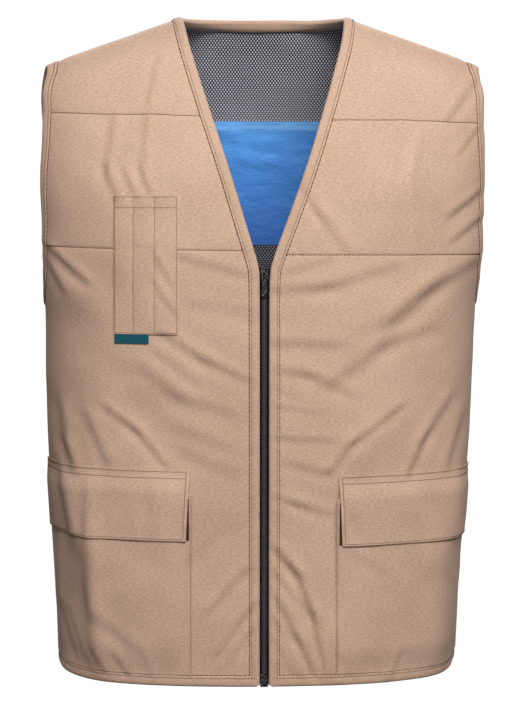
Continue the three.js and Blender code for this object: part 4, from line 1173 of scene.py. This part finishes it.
def flap_run(side, x_run, z_run):
    """A line on a flap, at ways in from its edge and below its top."""
    columns, rows, lift = flaps[side]
    column, row = np.broadcast_arrays(x_run / POCKET_RUN, z_run / FLAP_HEIGHT)
    z = 0 * row - BODY_LENGTH / 2
    for _ in range(4):
        start = side_round(side, POCKET_EDGE + FLAP_SLANT * row, z)
        u = start + (1 - start) * column
        z = flap_line(side, 0)(u) - FLAP_HEIGHT * row
    i = np.clip(np.searchsorted(columns, column), 0, len(columns) - 1)
    k = np.clip(np.searchsorted(rows, row), 0, len(rows) - 1)
    return run_on(FRONT, side * u, z, lift[k, i] + 0.05)


def pocket_edge_run(side):
    z = np.linspace(float(flap_line(side, POCKET_MOUTH)(0.3)) - 2, float(pocket_foot(0.3)) + 2, 120)
    s = side * side_round(side, POCKET_EDGE - 0.8 + 0 * z, z)
    return run_on(FRONT, s, z, over_pocket(side, s, way_down(s, z)) + 0.35)


runs = []
x_line, z_line = np.linspace(2, 184, 150), np.linspace(2, FLAP_HEIGHT - 2, 60)
for side in (-1, 1):
    runs += [flap_run(side, x_line, z_run) for z_run in (1.6, 8.2, 71.2)]
    runs += [flap_run(side, 2.2, z_line), pocket_edge_run(side)]
stitch_mesh("pocket_stitches", runs, thread_look)


def pen_run(x_run, z_run):
    """A line on the pen pocket, at ways in from its edge and below its top."""
    x_run, z_run = np.broadcast_arrays(np.asarray(x_run, float), np.asarray(z_run, float))
    z = -PEN_TOP - z_run
    low = side_round(-1, PEN_RIGHT, z)
    high = side_round(-1, PEN_LEFT, z)
    u = low + (high - low) * x_run / PEN_RUN
    return run_on(FRONT, -u, z, pen_height(x_run, z_run) + 1.25)


x_line, z_line = np.linspace(1, PEN_RUN - 1, 60), np.linspace(1, PEN_HEIGHT - 1, 100)
runs = [pen_run(x_run, z_line) for x_run in (1, PEN_RUN / 3, PEN_RUN * 2 / 3, PEN_RUN - 1)]
runs += [pen_run(x_line, z_run) for z_run in (1.0, 11.8, PEN_HEIGHT - 1.2)]
stitch_mesh("pen_pocket_stitches", runs, thread_look)

runs = []
for below in (BACK_YOKE_SEAM + 3, BACK_YOKE_SEAM + 9, BACK_CHEST_SEAM - 3):
    s = np.linspace(-0.6, 0.6, 260)
    points, normals = run_on(BACK, s, -below + 0 * s, -LINING_TOP - 1.8 - 0.25)
    runs.append((points, -normals))
stitch_mesh("cooling_band_stitches", runs, blue_thread_look, pitch=2.4, thread=0.3, share=0.7)


# Zip: tapes, teeth, and the CAD's slider, pull and end box with rounded edges
def front_at(z):
    return -FRONT_DEPTH * section_at(z, FRONT_COLUMN)


def build_tape(side, name):
    x = side * np.array([0.3, 2.0, 4.4, 7.0, 10.5, 14.5])
    xx, zz = np.meshgrid(x, np.linspace(-NECK_DEPTH, -BODY_LENGTH, 200))
    outer = np.stack([xx, front_at(zz) + TAPE_FRONT + 0.06 * np.cos(xx * 2.2), zz], -1)
    inner = np.stack([xx, front_at(zz) + TAPE_FRONT + 0.8, zz], -1)
    piece = fix_facing(sheet_mesh(f"zip_tape_{name}_cloth", outer, inner, np.stack([xx, zz], -1) / 1000))
    finish_piece(piece, tape_look, [f"zip_tape_{name}"])


for side, name in SIDE_NAME.items():
    build_tape(side, name)

# A tooth's outline, way off the zip's middle and height, and its layers, back to front, with their sizes
TOOTH_PITCH = 2.3
TOOTH_OUTLINE = np.array([
    (0.25, -0.5), (2.1, -0.42), (2.75, -0.3), (2.75, 0.3), (2.1, 0.42), (0.25, 0.5),
    (-0.3, 0.42), (-0.6, 0.22), (-0.6, -0.22), (-0.3, -0.42),
])
TOOTH_LAYERS = [(CHAIN_BACK, 0.9), (CHAIN_BACK - 0.5, 1.0), (CHAIN_BACK - 1.8, 1.0), (CHAIN_BACK - 2.35, 0.72)]


def build_teeth():
    ring, layers = len(TOOTH_OUTLINE), len(TOOTH_LAYERS)
    tooth_faces = tube_faces(ring, layers)
    for base in (0, (layers - 1) * ring):
        tooth_faces += [[base + k, base + k + 1, base + ring - 2 - k, base + ring - 1 - k] for k in range(4)]
    z_top, z_foot = -NECK_DEPTH - 7.5, -BODY_LENGTH + 12.5
    middle = np.array([1.0, 0.0])
    points, faces = [], []
    for i in range(int((z_top - z_foot) / TOOTH_PITCH)):
        for side, shift in ((-1, 0), (1, 0.5)):
            z = z_top - (i + shift) * TOOTH_PITCH - 0.6
            y = float(front_at(np.array(z)))
            faces.append(np.array(tooth_faces) + len(faces) * layers * ring)
            for depth, size in TOOTH_LAYERS:
                x, up = (middle + (TOOTH_OUTLINE - middle) * size).T
                points.append(np.stack([side * x, np.full(ring, y + depth), z + up * 1.35], -1))
    piece = add_mesh("zip_teeth_rows", np.concatenate(points), np.concatenate(faces), sharp=40)
    finish_piece(piece, teeth_look, ["zip_chain"])


build_teeth()
for node, slot_name in (("zip_slider", "zip_metal"), ("zip_pull", "zip_metal"), ("zip_end_box", "zip_teeth")):
    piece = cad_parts[node]
    piece.data.materials.clear()
    piece.data.materials.append(metal_look)
    bevel = piece.modifiers.new("rounded", "BEVEL")
    bevel.width = 0.0005
    bevel.segments = 3
    bevel.limit_method = "ANGLE"
    bevel.angle_limit = math.radians(30)

# Floor, backdrop, light
FLOOR = -0.76
ROOM_RADIUS = 6
ROOM_TOP = 5.0
ROOM_SIDES = 48

white = bpy.data.materials.new("studio_white")
white.use_nodes = True
white_nodes = white.node_tree.nodes
white_nodes.clear()
glow = white_nodes.new("ShaderNodeEmission")
glow.inputs["Color"].default_value = (1, 1, 1, 1)
glow.inputs["Strength"].default_value = 1.05
white_out = white_nodes.new("ShaderNodeOutputMaterial")
white.node_tree.links.new(glow.outputs[0], white_out.inputs["Surface"])


def stage_mesh(name, points, faces):
    mesh = bpy.data.meshes.new(name)
    mesh.from_pydata(points, [], faces)
    mesh.materials.append(white)
    stage = bpy.data.objects.new(name, mesh)
    bpy.context.scene.collection.objects.link(stage)
    stage.visible_diffuse = False
    stage.visible_glossy = False
    stage.visible_shadow = False


corners = [(-1, -1), (1, -1), (1, 1), (-1, 1)]
stage_mesh("floor", [(ROOM_RADIUS * x, ROOM_RADIUS * y, FLOOR) for x, y in corners], [(0, 1, 2, 3)])
turns = [2 * math.pi * k / ROOM_SIDES for k in range(ROOM_SIDES)]
circle = [(ROOM_RADIUS * math.cos(a), ROOM_RADIUS * math.sin(a)) for a in turns]
wall = [(x, y, z) for z in (FLOOR, ROOM_TOP) for x, y in circle]
pairs = [(k, (k + 1) % ROOM_SIDES) for k in range(ROOM_SIDES)]
wall_faces = [(k, m, ROOM_SIDES + m, ROOM_SIDES + k) for k, m in pairs]
roof_faces = [(ROOM_SIDES + k, ROOM_SIDES + m, 2 * ROOM_SIDES) for k, m in pairs]
stage_mesh("backdrop", wall + [(0, 0, ROOM_TOP)], wall_faces + roof_faces)

world = bpy.data.worlds.new("world")
bpy.context.scene.world = world
world.use_nodes = True
world.node_tree.nodes["Background"].inputs["Color"].default_value = (1, 0.84, 0.72, 1)
world.node_tree.nodes["Background"].inputs["Strength"].default_value = 0.09


def soft_light(name, location, target, size, power):
    data = bpy.data.lights.new(name, "AREA")
    data.shape = "RECTANGLE"
    data.size, data.size_y = size
    data.energy = power
    light = bpy.data.objects.new(name, data)
    light.location = location
    light.rotation_euler = (Vector(target) - Vector(location)).to_track_quat("-Z", "Y").to_euler()
    bpy.context.scene.collection.objects.link(light)
    return light


soft_light("key_light", (0.35, -2.3, 1.7), (0, 0, -0.3), (3.0, 0.6), 107)
fill_light = soft_light("fill_light", (0.1, -3.0, 0.0), (0, 0, -0.35), (0.7, 0.7), 9)
fill_light.visible_glossy = False
soft_light("back_light", (0.0, 2.5, 1.3), (0, 0, -0.3), (1.6, 0.8), 70)

scene = bpy.context.scene
scene.view_settings.view_transform = "Standard"
scene.view_settings.look = "None"
